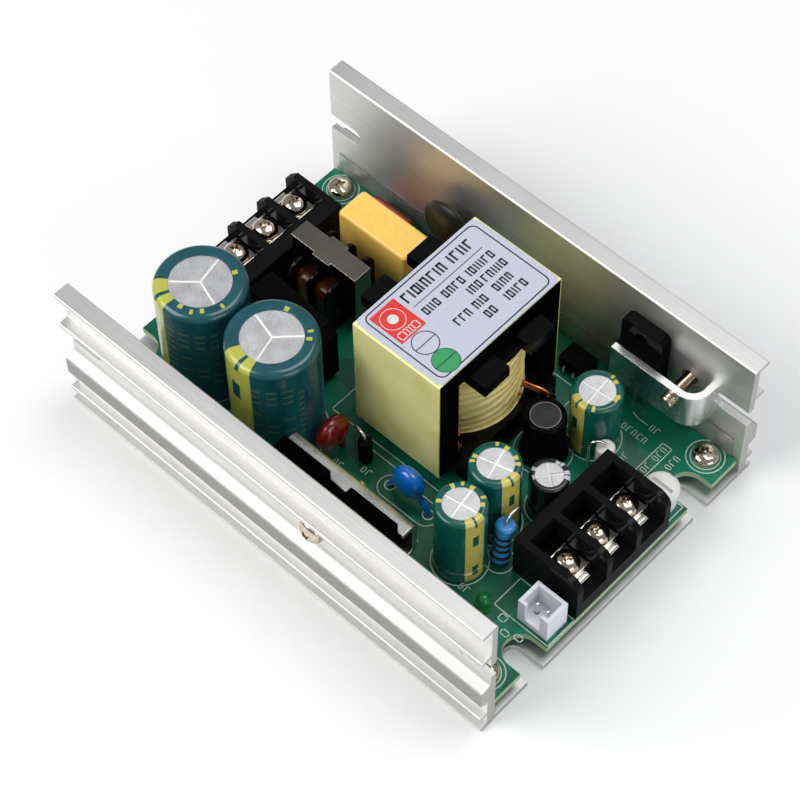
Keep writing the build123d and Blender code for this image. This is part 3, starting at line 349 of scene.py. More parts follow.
@dataclass(frozen=True)
class Extrusion(Finish):
    """Satin aluminium, with die lines along its length."""

    name: str
    colour: Colour = (0.78, 0.775, 0.76)
    rib_shade: tuple[float, float] = (9.9, 14.6)
    rib_shade_reach: float = 39.7

    def build(self, graph: Graph) -> None:
        """Die lines and clouds of oxide, with painted shade on the outer rib faces and on the cut
        ends.

        Args:
            graph: the material's nodes, which it lays out.
        """
        lines = graph.noise((60, 0.22, 0.22), 4, 0.7)
        wide = graph.noise((140, 1.6, 1.6), 2)
        cloud = graph.noise((14, 10, 10), 3)
        tone = graph.sums("ADD", graph.sums("MULTIPLY", lines, 0.5),
                          graph.sums("MULTIPLY", graph.sums("ADD", wide, cloud), 0.25))
        dull = scaled(self.colour, 0.84)
        drawn = graph.ramp(tone, (0.35, dull), (0.62, self.colour))
        # Painted shade: the cut ends, which look along X, and the outer rib faces are mixed
        # towards a dark grey.
        end_shade = graph.sums("GREATER_THAN", graph.facing(0), 0.8)
        spot = graph.split(graph.place())
        rib_shade = graph.sums("MULTIPLY", graph.between(spot[2], *self.rib_shade),
                         graph.sums("GREATER_THAN", graph.sums("ABSOLUTE", spot[1]),
                                    self.rib_shade_reach))
        shade = graph.sums("MAXIMUM", graph.sums("MULTIPLY", end_shade, 0.45),
                           graph.sums("MULTIPLY", rib_shade, 0.6))
        # The dark grey here is the painted shade of the cut ends and the rib faces.
        graph.set(Base_Color=graph.mix(shade, drawn, (0.16, 0.155, 0.15)), Metallic=1.0,
                  Roughness=graph.span(tone, 0.3, 0.7, 0.44, 0.56))
        graph.bump(lines, 0.015, 0.7)


@dataclass(frozen=True)
class CanTop(Finish):
    """A can's face: speckled aluminium, with a painted highlight in its stamped scores."""

    name: str
    top: float
    colour: Colour = (0.82, 0.82, 0.83)
    score_highlight: Colour = (0.90, 0.90, 0.88)
    score_depth: float = 0.12

    def build(self, graph: Graph) -> None:
        """Fine speckles, faint clouds, and a painted highlight below the face, in the scores.

        Args:
            graph: the material's nodes, which it lays out.
        """
        speckle = graph.noise((0.16, 0.16, 0.16), 2, 0.6)
        cloud = graph.noise((3, 3, 3), 2)
        tone = graph.sums("ADD", graph.sums("MULTIPLY", speckle, 0.75),
                          graph.sums("MULTIPLY", cloud, 0.25))
        dark = scaled(self.colour, 0.6)
        face = graph.ramp(tone, (0.36, dark), (0.6, self.colour))
        height = graph.split(graph.place())[2]
        # Painted highlight: below the face, in the scores, the colour turns pale and mostly
        # non-metallic.
        score_highlight_mask = graph.sums("LESS_THAN", height, self.top - self.score_depth)
        graph.set(Base_Color=graph.mix(score_highlight_mask, face, self.score_highlight),
                  Metallic=graph.sums("SUBTRACT", 1.0, graph.sums("MULTIPLY", score_highlight_mask, 0.8)),
                  Roughness=graph.span(tone, 0.3, 0.7, 0.36, 0.55))
        graph.bump(speckle, 0.03, 0.7)


@dataclass(frozen=True)
class SolderMask(Finish):
    """Green mask over copper, with bare glass laminate at the edges."""

    name: str
    bare: Colour = (0.0, 0.125, 0.066)
    over_copper: Colour = (0.003, 0.20, 0.11)
    laminate: Colour = (0.30, 0.42, 0.24)

    def build(self, graph: Graph) -> None:
        """Blocks of copper under the mask, and the pale cut edges.

        Args:
            graph: the material's nodes, which it lays out.
        """
        where = graph.place(stretch=(9, 9, 9))
        cells = graph.add("TexVoronoi", {"Vector": where, "Scale": 1.0, "Randomness": 0.8},
                          distance="CHEBYCHEV", voronoi_dimensions="2D")
        level = graph.add("SeparateColor", {0: cells.outputs["Color"]}).outputs[0]
        copper = graph.sums("GREATER_THAN", level, 0.42)
        cloud = graph.noise((7, 7, 7), 3)
        green = graph.mix(copper, self.bare, self.over_copper)
        deep = graph.mix(graph.span(cloud, 0.3, 0.75, 0.0, 0.45), green, (0.0, 0.05, 0.03))
        flat = graph.sums("GREATER_THAN", graph.facing(2), 0.5)
        graph.set(Base_Color=graph.mix(flat, self.laminate, deep),
                  Roughness=graph.span(cloud, 0.3, 0.7, 0.3, 0.42), Specular_IOR_Level=0.3,
                  Coat_Weight=0.12, Coat_Roughness=0.1)
        graph.bump(copper, 0.02, 0.5)


@dataclass(frozen=True)
class Sleeve(Finish):
    """A printed sleeve shrunk on a round can: a stripe with marks, and rows of print."""

    name: str
    centre: tuple[float, float]
    top: float
    colour: Colour
    ink: Colour
    stripe_at: float
    stripe_half: float
    rim_marks: tuple[float, ...] = ()
    print_at: float = 0.0
    print_half: float = 0.0
    mark_pitch: float = 9.0
    rim: float = 7.4
    gap_at: float = 0.0

    def build(self, graph: Graph) -> None:
        """Stripe, dark marks on it, rows of short bars and marks on the shoulder.

        Args:
            graph: the material's nodes, which it lays out.
        """
        angle, reach, height = graph.polar(self.centre)
        stripe = graph.near_angle(angle, self.stripe_at, self.stripe_half)
        down = graph.sums("DIVIDE", graph.sums("SUBTRACT", self.top - 1.5, height),
                          self.mark_pitch)
        slot = graph.between(graph.sums("FRACT", down), 0.3, 0.62)
        below = graph.sums("GREATER_THAN", down, 0.0)
        mark = graph.sums("MULTIPLY", graph.sums("MULTIPLY", slot, below),
                          graph.near_angle(angle, self.stripe_at, self.stripe_half * 0.3))
        split = graph.sums("MULTIPLY", graph.near_angle(angle, self.stripe_at + self.gap_at,
                                                        self.stripe_half * 0.13),
                           graph.sums("LESS_THAN", down, 0.0))
        shown = graph.sums("SUBTRACT", graph.sums("SUBTRACT", stripe, mark), split)
        for i, at in enumerate(self.rim_marks):
            inner = self.rim + (-0.55, 0.0, -0.3)[i % 3]
            spot = graph.sums("MULTIPLY", graph.near_angle(angle, at, (30, 18, 24)[i % 3]
                                                           / self.rim),
                              graph.between(reach, inner - 0.55, inner + 0.55))
            on_top = graph.sums("GREATER_THAN", height, self.top - 0.7)
            shown = graph.sums("MAXIMUM", shown, graph.sums("MULTIPLY", spot, on_top))
        if self.print_half:
            rows = graph.sums("MULTIPLY", self.rows(graph, angle, height), 0.16)
            shown = graph.sums("MAXIMUM", shown, rows)
        cloud = graph.noise((3, 3, 9), 2)
        dark = scaled(self.colour, 0.72)
        base = graph.ramp(cloud, (0.3, dark), (0.7, self.colour))
        cover = graph.span(shown, 0.0, 1.0)
        graph.set(Base_Color=graph.mix(cover, base, self.ink),
                  Roughness=graph.span(cloud, 0.3, 0.7, 0.2, 0.3), Coat_Weight=0.35,
                  Coat_Roughness=0.08)
        graph.bump(graph.noise((2.2, 2.2, 6), 2), 0.03, 0.4)

    def rows(self, graph: Graph, angle: Socket,
             height: Socket) -> Socket:
        """Rows of plain bars of uneven length, where print would be.

        Args:
            graph: the material's nodes.
            angle: the angle round the can in radians.
            height: the height in millimetres.

        Returns:
            A socket that is 1 on the bars.
        """
        row = graph.sums("DIVIDE", height, 1.9)
        column = graph.sums("MULTIPLY", angle, 2.9)
        cell = graph.add("CombineXYZ", {0: graph.sums("FLOOR", column),
                                        1: graph.sums("FLOOR", row)}).outputs[0]
        chance = graph.add("TexWhiteNoise", {"Vector": cell},
                           noise_dimensions="3D").outputs["Value"]
        inked = graph.sums("GREATER_THAN", chance, 0.3)
        line = graph.between(graph.sums("FRACT", row), 0.3, 0.62)
        panel = graph.sums("MULTIPLY", graph.near_angle(angle, self.print_at, self.print_half),
                           graph.between(height, 14.0, self.top - 4.0))
        gap = graph.between(graph.sums("FRACT", column), 0.22, 0.9)
        both = graph.sums("MULTIPLY", graph.sums("MULTIPLY", inked, line), gap)
        return graph.sums("MULTIPLY", both, panel)


@dataclass(frozen=True)
class Tape(Finish):
    """Yellow polyester tape with faint wrinkles."""

    name: str
    colour: Colour = (0.90, 0.87, 0.38)
    shade: Colour = (0.80, 0.73, 0.22)
    wrinkle: Point = (11, 11, 8)
    depth: float = 0.05
    brown_top: float = 0.0

    def build(self, graph: Graph) -> None:
        """Wrinkles, a change of tone and, on a winding, a brown tint near its top.

        Args:
            graph: the material's nodes, which it lays out.
        """
        folds = graph.noise(self.wrinkle, 3, 0.55)
        cloud = graph.noise((7, 7, 9), 2)
        base = graph.ramp(graph.sums("MULTIPLY", graph.sums("ADD", folds, cloud), 0.5),
                          (0.32, self.shade), (0.52, self.colour))
        # A brown tint in the higher folds, over the 3 mm below the winding's top.
        if self.brown_top:
            height = graph.split(graph.place())[2]
            patch = graph.sums("MULTIPLY", graph.span(height, self.brown_top - 3, self.brown_top),
                               graph.span(folds, 0.42, 0.6))
            base = graph.mix(patch, base, (0.36, 0.14, 0.04))
        graph.set(Base_Color=base, Roughness=0.32, Coat_Weight=0.35, Coat_Roughness=0.15,
                  Subsurface_Weight=0.08, Subsurface_Radius=(1.0, 0.8, 0.3),
                  Subsurface_Scale=0.5 * MM)
        graph.bump(folds, self.depth)


@dataclass(frozen=True)
class Lacquer(Finish):
    """Coloured lacquer with bands across a part's own axis."""

    name: str
    colour: Colour
    bands: tuple[float, ...]
    half_band: float
    band_colour: Colour
    foot: Point
    turn: Point = (0, 0, 0)

    def build(self, graph: Graph) -> None:
        """Bands at heights above the part's foot.

        Args:
            graph: the material's nodes, which it lays out.
        """
        along = graph.split(graph.place(self.foot, self.turn))[2]
        shown = None
        for height in self.bands:
            one = graph.between(along, height - self.half_band, height + self.half_band)
            shown = one if shown is None else graph.sums("MAXIMUM", shown, one)
        cloud = graph.noise((1.5, 1.5, 1.5), 2)
        dark = scaled(self.colour, 0.8)
        base = graph.ramp(cloud, (0.3, dark), (0.7, self.colour))
        graph.set(Base_Color=graph.mix(shown, base, self.band_colour),
                  Roughness=graph.span(cloud, 0.3, 0.7, 0.2, 0.32), Coat_Weight=0.6,
                  Coat_Roughness=0.1)
        graph.bump(cloud, 0.03, 0.5)


@dataclass(frozen=True)
class Clear(Finish):
    """A clear sheet or lens, with a tint and a faint haze."""

    name: str
    colour: Colour
    roughness: float = 0.12
    through: float = 0.9

    def build(self, graph: Graph) -> None:
        """Clear body with a hazy change of gloss.

        Args:
            graph: the material's nodes, which it lays out.
        """
        haze = graph.noise((5, 5, 5), 3)
        graph.set(Base_Color=self.colour, Transmission_Weight=self.through, IOR=1.45,
                  Roughness=graph.span(haze, 0.3, 0.7, self.roughness * 0.7,
                                       self.roughness * 1.4))
        graph.bump(haze, 0.01, 0.4)


@dataclass(frozen=True)
class Ink(Finish):
    """A thin printed or pasted colour."""

    name: str
    colour: Colour
    roughness: float = 0.5
    worn: float = 0.15

    def build(self, graph: Graph) -> None:
        """A slightly uneven print.

        Args:
            graph: the material's nodes, which it lays out.
        """
        cloud = graph.noise((0.5, 0.5, 0.5), 3)
        pale = scaled(self.colour, 1 - self.worn)
        graph.set(Base_Color=graph.ramp(cloud, (0.35, pale), (0.6, self.colour)),
                  Roughness=graph.span(cloud, 0.3, 0.7, self.roughness * 0.85,
                                       self.roughness * 1.1))


@dataclass(frozen=True)
class Wound(Finish):
    """Enamelled copper, its turns running round an axis."""

    name: str
    pitch: Point
    colour: Colour = (0.60, 0.19, 0.07)

    def build(self, graph: Graph) -> None:
        """Turns as fine waves of height and shade.

        Args:
            graph: the material's nodes, which it lays out.
        """
        where = graph.place(stretch=self.pitch)
        waves = graph.add("TexWave", {"Vector": where, "Scale": 1.0, "Distortion": 0.3,
                                      "Detail": 1.0}, bands_direction="X").outputs["Fac"]
        dark = scaled(self.colour, 0.25)
        graph.set(Base_Color=graph.ramp(waves, (0.1, dark), (0.55, self.colour)), Metallic=0.7,
                  Roughness=0.28, Coat_Weight=0.5, Coat_Roughness=0.15)
        graph.bump(waves, 0.15)


class Shades:
    """The finishes that several pieces share."""

    aluminium = Extrusion("satin_aluminium")
    board = SolderMask("solder_mask")
    # Strong mottle (shade 0.45): partly the plate's uneven tone, partly painted dark reflections
    # on the screw heads.
    nickel = Metal("nickel_plate", (0.80, 0.69, 0.56), 0.12, (1.1, 1.1, 1.1), 0.02,
                   shade=0.45)
    bright = Metal("bright_nickel", (0.78, 0.74, 0.68), 0.2, (0.9, 0.9, 0.9), 0.008,
                   shade=0.3)
    zinc = Metal("zinc_plate", (0.72, 0.73, 0.74), 0.26, (2.5, 0.3, 0.3), 0.004)
    bar = Metal("rolled_bar", (0.66, 0.65, 0.61), 0.3, (0.5, 0.22, 0.22), 0.03, shade=0.5)
    clip = Metal("spring_clip", (0.30, 0.265, 0.23), 0.2, (0.8, 0.8, 0.8), 0.004)
    tinned = Metal("tinned_wire", (0.82, 0.82, 0.80), 0.22, (0.3, 0.3, 0.3), 0.004)
    block = Moulding("terminal_plastic", (0.008, 0.008, 0.0085), 0.28, 0.004, coat=0.18, shine=0.0)
    bobbin = Moulding("bobbin_plastic", (0.003, 0.003, 0.003), 0.2, 0.003, coat=0.3, shine=0.0)
    epoxy = Moulding("package_epoxy", (0.005, 0.005, 0.0055), 0.42, 0.012, coat=0.06, shine=0.0)
    ferrite = Moulding("ferrite", (0.0025, 0.0025, 0.0025), 0.36, 0.02, coat=0.03, shine=0.0)
    drum_face = Moulding("drum_ferrite", (0.04, 0.041, 0.043), 0.4, 0.012, 0.5, shine=0.3)
    drum_ring = Moulding("drum_rim", (0.22, 0.22, 0.22), 0.35, 0.012, shine=0.4)
    shrink = Moulding("shrink_tube", (0.003, 0.003, 0.0032), 0.26, 0.015, coat=0.1, shine=0.0)
    nylon = Moulding("white_nylon", (0.80, 0.81, 0.87), 0.38, 0.002, 0.03, glow=0.2)
    milky = Moulding("milky_nylon", (0.80, 0.80, 0.77), 0.28, 0.004, 0.05, glow=0.4)
    golden = Moulding("golden_case", (0.95, 0.62, 0.13), 0.36, 0.006, 0.06, coat=0.1)
    red_dip = Moulding("red_dip", (0.22, 0.003, 0.004), 0.18, 0.02, 0.3, coat=0.6)
    red_tube = Moulding("red_sleeve", (0.33, 0.012, 0.01), 0.3, 0.01, coat=0.3)
    dark_dip = Moulding("dark_dip", (0.012, 0.012, 0.008), 0.32, 0.03, 0.3, shine=0.3)
    blue_dip = Moulding("blue_dip", (0.002, 0.15, 0.62), 0.14, 0.008, 0.15, coat=0.7)
    ceramic = Moulding("white_body", (0.70, 0.70, 0.66), 0.35, 0.01, 0.08, coat=0.2)
    # Near-black with no shine: the caps' own dark colour, darkened further as painted shade so
    # they read as the shaded gap between bar and wall.
    silicone_and_gap_shade = Moulding("soft_cap", (0.0015, 0.0015, 0.0015), 0.6, 0.004, shine=0.0)
    copper = Wound("copper_turns", (0.9, 50, 50), (0.32, 0.085, 0.03))
    enamel = Metal("enamelled_wire", (0.85, 0.26, 0.09), 0.22, (1.5, 1.5, 1.5), 0.004)
    film = Clear("clear_film", (0.93, 0.97, 0.95), 0.1, 0.96)
    lamp = Clear("green_lens", (0.01, 0.28, 0.06), 0.12, 0.5)
    mint = Ink("board_print", (0.62, 0.74, 0.66), 0.45, 0.25)
    tape = Tape("core_tape")


class Form:
    """A mesh being made, in millimetres."""

    def __init__(self, bm: bmesh.types.BMesh | None = None) -> None:
        """Start with nothing, or with a mesh that is there already."""
        self.bm = bmesh.new() if bm is None else bm

    @classmethod
    def of(cls, node: str) -> "Form":
        """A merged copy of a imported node, with its flat faces whole.

        Args:
            node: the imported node's name.

        Returns:
            The form, in millimetres.
        """
        form = cls()
        bm = form.bm
        bm.from_mesh(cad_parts[node].data)
        bmesh.ops.scale(bm, vec=(1 / MM,) * 3, verts=bm.verts)
        bmesh.ops.remove_doubles(bm, verts=bm.verts, dist=0.002)
        bmesh.ops.dissolve_limit(bm, angle_limit=math.radians(0.4), verts=bm.verts,
                                 edges=bm.edges, use_dissolve_boundaries=False)
        return form

    def join(self, other: bmesh.types.BMesh, at: Matrix | None = None) -> "Form":
        """Add another mesh to this one.

        Args:
            other: the mesh to add, which is used up.
            at: where it goes.

        Returns:
            This form.
        """
        if at is not None:
            bmesh.ops.transform(other, matrix=at, verts=other.verts)
        bmesh.ops.recalc_face_normals(other, faces=other.faces)
        spare = bpy.data.meshes.new("spare")
        other.to_mesh(spare)
        other.free()
        self.bm.from_mesh(spare)
        bpy.data.meshes.remove(spare)
        return self

    def turned(self, profile: Profile, at: Matrix | None = None, steps: int = FULL_STEPS,
               closed: bool = False) -> "Form":
        """Spin a profile of (radius, height) points about Z.

        Args:
            profile: the points; one that starts and ends on the axis is closed already.
            at: where the shape goes.
            steps: how many faces it has round it.
            closed: whether the profile is a ring that joins its last point to its first.

        Returns:
            This form.
        """
        bm = bmesh.new()
        verts = [bm.verts.new((r, 0, z)) for r, z in profile]
        pairs = list(zip(verts, verts[1:]))
        if closed:
            pairs.append((verts[-1], verts[0]))
        edges = [bm.edges.new(pair) for pair in pairs]
        bmesh.ops.spin(bm, geom=verts + edges, cent=(0, 0, 0), axis=(0, 0, 1),
                       angle=math.tau, steps=steps, use_merge=True)
        bmesh.ops.remove_doubles(bm, verts=bm.verts, dist=0.0005)
        return self.join(bm, at)

    def block(self, first: Point, last: Point, bevel: float = 0.0, segments: int = 2,
              at: Matrix | None = None) -> "Form":
        """Add a block between two corners, with soft edges if a bevel is given.

        Args:
            first: the corner with the least of each axis.
            last: the corner with the most.
            bevel: how wide its edges are bevelled.
            segments: how many faces each bevel has.
            at: where the block goes.

        Returns:
            This form.
        """
        bm = bmesh.new()
        bmesh.ops.create_cube(bm, size=1.0)
        first, last = Vector(first), Vector(last)
        bmesh.ops.scale(bm, vec=last - first, verts=bm.verts)
        bmesh.ops.translate(bm, vec=(first + last) / 2, verts=bm.verts)
        if bevel:
            bmesh.ops.bevel(bm, geom=bm.edges[:], offset=bevel, offset_type="OFFSET",
                            segments=segments, profile=0.5, affect="EDGES",
                            clamp_overlap=True, material=-1)
        return self.join(bm, at)

    def wire(self, points: list[Point], radius: float, sides: int = 3) -> "Form":
        """A round wire along a smooth line.

        Args:
            points: the line's control points.
            radius: the wire's radius.
            sides: the bevel's resolution.

        Returns:
            This form.
        """
        curve = bpy.data.curves.new("line", "CURVE")
        curve.dimensions = "3D"
        curve.bevel_depth = radius
        curve.bevel_resolution = sides
        curve.use_fill_caps = True
        spline = curve.splines.new("NURBS")
        spline.points.add(len(points) - 1)
        for point, place in zip(spline.points, points):
            point.co = (*place, 1.0)
        spline.order_u = 3
        spline.use_endpoint_u = True
        spline.resolution_u = 10
        holder = bpy.data.objects.new("line", curve)
        mesh = bpy.data.meshes.new_from_object(holder)
        bm = bmesh.new()
        bm.from_mesh(mesh)
        bpy.data.objects.remove(holder)
        bpy.data.curves.remove(curve)
        bpy.data.meshes.remove(mesh)
        bmesh.ops.remove_doubles(bm, verts=bm.verts, dist=0.0005)
        return self.join(bm)

    def soften(self, width: float, angle: float = 40.0, segments: int = 2) -> "Form":
        """Bevel every edge that is sharper than an angle in degrees.

        Args:
            width: the bevel's width.
            angle: the angle between the edge's faces.
            segments: how many faces each bevel has.

        Returns:
            This form.
        """
        edges = [e for e in self.bm.edges if len(e.link_faces) == 2
                 and e.calc_face_angle(0.0) > math.radians(angle)]
        bmesh.ops.bevel(self.bm, geom=edges, offset=width, offset_type="OFFSET",
                        segments=segments, profile=0.5, affect="EDGES", clamp_overlap=True,
                        material=-1)
        return self

    def done(self, name: str, finish: Finish, slot: str, *nodes: str, body: str = SUPPLY,
             smooth: float = SHARP_ANGLE) -> bpy.types.Object:
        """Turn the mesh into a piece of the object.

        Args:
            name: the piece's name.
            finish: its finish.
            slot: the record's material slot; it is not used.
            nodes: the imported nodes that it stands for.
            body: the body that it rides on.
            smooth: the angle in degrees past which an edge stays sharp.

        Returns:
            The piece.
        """
        bmesh.ops.scale(self.bm, vec=(MM,) * 3, verts=self.bm.verts)
        mesh = bpy.data.meshes.new(name)
        self.bm.to_mesh(mesh)
        self.bm.free()
        mesh.polygons.foreach_set("use_smooth", [True] * len(mesh.polygons))
        mesh.set_sharp_from_angle(angle=math.radians(smooth))
        piece = bpy.data.objects.new(name, mesh)
        bpy.context.scene.collection.objects.link(piece)
        mesh.materials.append(finish.material())
        weigh = piece.modifiers.new("weigh", "WEIGHTED_NORMAL")
        weigh.keep_sharp = True
        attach(piece, body)
        if nodes:
            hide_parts(*nodes)
        logging.info("%s: %d faces", name, len(mesh.polygons))
        return piece


def dress(node: str, finish: Finish) -> bpy.types.Object:
    """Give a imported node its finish.

    Args:
        node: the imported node's name.
        finish: its finish.

    Returns:
        The node's object.
    """
    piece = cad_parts[node]
    piece.data.materials.clear()
    piece.data.materials.append(finish.material())
    return piece


def recast(node: str, name: str, finish: Finish, slot: str, edge: float, segments: int = 2,
           body: str = SUPPLY, smooth: float = SHARP_ANGLE) -> bpy.types.Object:
    """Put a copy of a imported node, with softened edges, in its place.

    Args:
        node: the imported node's name.
        name: the piece's name.
        finish: its finish.
        slot: the record's material slot.
        edge: how wide its edges are bevelled.
        segments: how many faces each bevel has.
        body: the body that it rides on.
        smooth: the angle in degrees past which an edge stays sharp.

    Returns:
        The piece.
    """
    form = Form.of(node).soften(edge, segments=segments)
    return form.done(name, finish, slot, node, body=body, smooth=smooth)


def upright(x: float, y: float, z: float = 0.0) -> Matrix:
    """A place in the row's frame with no turn."""
    return Matrix.Translation((x, y, z))


def turned_about(axis: str, degrees: float) -> Matrix:
    """A turn about one of the row's axes."""
    return Matrix.Rotation(math.radians(degrees), 4, axis)


@dataclass
class Studio:
    """Pale floor, soft lights and the camera."""

    camera_at: Point = (193.90, -205.46, 432.93)
    forward: Point = (-0.38441, 0.40265, -0.83073)
    roll: float = -0.947
    lens: float = 116.41
    floor_size: float = 3000.0

    def build(self) -> None:
        """Make the floor, the lights, the sky and the camera."""
        self.floor()
        self.sky()
        self.softbox("key_light", (-380, -560, 620), 620, 5.8, (1.0, 0.985, 0.96))
        self.softbox("top_light", (120, 260, 820), 520, 3.0, (1.0, 1.0, 1.0))
        self.softbox("edge_light", (640, -120, 260), 340, 0.9, (0.97, 0.985, 1.0))
        self.camera()
        scene = bpy.context.scene
        scene.view_settings.view_transform = "Standard"
        scene.view_settings.look = "None"

    def floor(self) -> None:
        """A pale floor under the object."""
        bm = bmesh.new()
        bmesh.ops.create_grid(bm, x_segments=1, y_segments=1, size=self.floor_size / 2 * MM)
        mesh = bpy.data.meshes.new("floor")
        bm.to_mesh(mesh)
        bm.free()
        graph = Graph("pale_floor")
        cloud = graph.noise((200, 200, 200), 2)
        graph.set(Base_Color=graph.ramp(cloud, (0.3, (0.90, 0.90, 0.90)),
                                        (0.7, (0.93, 0.93, 0.93))), Roughness=0.85)
        mesh.materials.append(graph.material)
        floor = bpy.data.objects.new("floor", mesh)
        bpy.context.scene.collection.objects.link(floor)

    def sky(self) -> None:
        """Even light from all round."""
        world = bpy.data.worlds.new("studio")
        world.use_nodes = True
        back = world.node_tree.nodes["Background"]
        back.inputs["Color"].default_value = (0.93, 0.96, 1.0, 1.0)
        back.inputs["Strength"].default_value = 0.34
        bpy.context.scene.world = world

    def softbox(self, name: str, at: Point, size: float, power: float, colour: Colour) -> None:
        """A square soft light that points at the object.

        Args:
            name: the light's name.
            at: its place in millimetres.
            size: its side in millimetres.
            power: its power in watts.
            colour: its colour.
        """
        data = bpy.data.lights.new(name, "AREA")
        data.size = size * MM
        data.energy = power
        data.color = colour
        light = bpy.data.objects.new(name, data)
        light.location = Vector(at) * MM
        light.rotation_mode = "QUATERNION"
        light.rotation_quaternion = (-light.location).to_track_quat("-Z", "Y")
        bpy.context.scene.collection.objects.link(light)

    def camera(self) -> None:
        """The camera at the photograph's place."""
        data = bpy.data.cameras.new("camera")
        data.lens = self.lens
        data.sensor_width = 36.0
        data.clip_start = 0.01
        data.clip_end = 20.0
        camera = bpy.data.objects.new("camera", data)
        camera.location = Vector(self.camera_at) * MM
        camera.rotation_mode = "QUATERNION"
        aim = Vector(self.forward).to_track_quat("-Z", "Y")
        camera.rotation_quaternion = aim @ Matrix.Rotation(math.radians(self.roll), 3,
                                                           "Z").to_quaternion()
        bpy.context.scene.collection.objects.link(camera)
        bpy.context.scene.camera = camera


def board_screw_spots() -> Profile:
    """Where the board's four screws stand, in X and Y.

    Returns:
        The four places.
    """
    far = high("board_screws")
    x, y = far.x - Enclosure.head_radius, far.y - Enclosure.head_radius
    return [(-x, -y), (-x, y), (x, -y), (x, y)]


@dataclass
class Enclosure:
    """The extrusion, its film and what holds the board down."""

    edge: float = 0.1
    head_radius: float = 2.75
    head_height: float = 2.1
    recess: float = 3.2
    shank: float = 1.5
    tip: float = 1.5
    turns: tuple[float, ...] = (20, 65, 40, 10)

    def build(self) -> None:
        """Dress the extrusion, the film, the spacers and the board's screws."""
        recast("chassis", "chassis_shell", Shades.aluminium, "chassis", self.edge)
        dress("insulating_film", Shades.film)
        dress("board_standoffs", Shades.zinc)
        top = high("circuit_board").z
        end = low("circuit_board").z - top - self.tip
        form = Form()
        for turn, (x, y) in zip(self.turns, board_screw_spots()):
            at = upright(x, y, top) @ turned_about("Z", turn)
            cross_head(form, at, self.head_radius, self.head_height, self.recess)
            form.turned([(0, end), (self.shank, end), (self.shank, 0), (0, 0)], at)
        form.done("board_screw_set", Shades.nickel, "steel_screws", "board_screws")


def cross_head(form: Form, at: Matrix, radius: float, height: float, span: float,
               slot: float = 0.75, depth: float = 1.1) -> None:
    """Add a domed screw head with a tapered cross recess.

    Args:
        form: what the head is added to.
        at: the head's seat, with its axis along Z.
        radius: the head's radius.
        height: the head's height.
        span: the recess's length from tip to tip.
        slot: the recess's width.
        depth: the recess's depth.
    """
    rim = height * 0.42
    rise = height - rim
    dome = [(radius * math.cos(a), rim + rise * math.sin(a))
            for a in [math.radians(5 + 85 * i / 9) for i in range(9)]]
    head = Form().turned([(0, 0), (radius * 0.94, 0), (radius, rim * 0.2), *dome, (0, height)],
                         steps=SMALL_STEPS)
    solid = mesh_object("head", head.bm)
    cutter = Form()
    for turn in (0, 90):
        bm = bmesh.new()
        bmesh.ops.create_cube(bm, size=1.0)
        bmesh.ops.scale(bm, vec=(span, slot, depth * 2), verts=bm.verts)
        lower = [v for v in bm.verts if v.co.z < 0]
        bmesh.ops.scale(bm, vec=(0.42, 0.6, 1.0), verts=lower)
        cutter.join(bm, upright(0, 0, height) @ turned_about("Z", turn))
    cutter.turned([(0, -depth), (slot * 0.75, -depth * 0.8), (slot * 0.95, depth), (0, depth)],
                  upright(0, 0, height), steps=16)
    tool = mesh_object("tool", cutter.bm)
    cut = solid.modifiers.new("cut", "BOOLEAN")
    cut.operation = "DIFFERENCE"
    cut.solver = "EXACT"
    cut.use_self = True
    cut.object = tool
    bm = finished(solid)
    bpy.data.objects.remove(tool)
    form.join(bm, at)


def mesh_object(name: str, bm: bmesh.types.BMesh) -> bpy.types.Object:
    """A working object from a bmesh, for a modifier to act on.

    Args:
        name: the object's name.
        bm: its mesh, which is used up.

    Returns:
        The object.
    """
    mesh = bpy.data.meshes.new(name)
    bm.to_mesh(mesh)
    bm.free()
    found = bpy.data.objects.new(name, mesh)
    bpy.context.scene.collection.objects.link(found)
    return found


def finished(worker: bpy.types.Object) -> bmesh.types.BMesh:
    """What a working object's modifiers make of it; the object is used up.

    Args:
        worker: the object, with its modifiers.

    Returns:
        The finished mesh.
    """
    graph = bpy.context.evaluated_depsgraph_get()
    mesh = bpy.data.meshes.new_from_object(worker.evaluated_get(graph))
    bm = bmesh.new()
    bm.from_mesh(mesh)
    bpy.data.objects.remove(worker)
    bpy.data.meshes.remove(mesh)
    return bm


@dataclass
class Print:
    """Thin shapes of ink on a flat face, placed from the print's own corner."""

    x0: float
    y0: float
    top: float
    ink: float

    def __post_init__(self) -> None:
        """Start with a bare face."""
        self.form = Form()

    def place(self, x: float = 0.0, y: float = 0.0) -> Matrix:
        """A place on the face."""
        return upright(self.x0 + x, self.y0 + y, self.top)

    def rule(self, start: Spot, end: Spot, width: float, past: float = 0.0) -> None:
        """Print a straight line that runs past both its ends.

        Args:
            start: where it starts.
            end: where it ends.
            width: its width.
            past: how far it runs past each end.
        """
        run = Vector(end) - Vector(start)
        turn = Matrix.Rotation(math.atan2(run.y, run.x), 4, "Z")
        self.form.block((-past, -width / 2, 0), (run.length + past, width / 2, self.ink),
                        at=self.place(*start) @ turn)

    def path(self, points: Profile, width: float, past: float = 0.0) -> None:
        """Print straight lines from point to point."""
        for start, end in zip(points, points[1:]):
            self.rule(start, end, width, past)

    def ring(self, x: float, y: float, outer: float, width: float) -> None:
        """Print a circle."""
        inner = outer - width
        self.form.turned([(inner, 0), (outer, 0), (outer, self.ink), (inner, self.ink)],
                         self.place(x, y), closed=True)

    def disc(self, x: float, y: float, radius: float) -> None:
        """Print a filled circle."""
        self.form.turned([(0, 0), (radius, 0), (radius, self.ink), (0, self.ink)],
                         self.place(x, y))

    def bar(self, corner: Spot, size: Spot, at: Matrix | None = None) -> None:
        """Print a straight bar from its corner, in its own frame if it has one."""
        (x, y), (wide, deep) = corner, size
        at = self.place() if at is None else at
        self.form.block((x, y, 0), (x + wide, y + deep, self.ink), at=at)


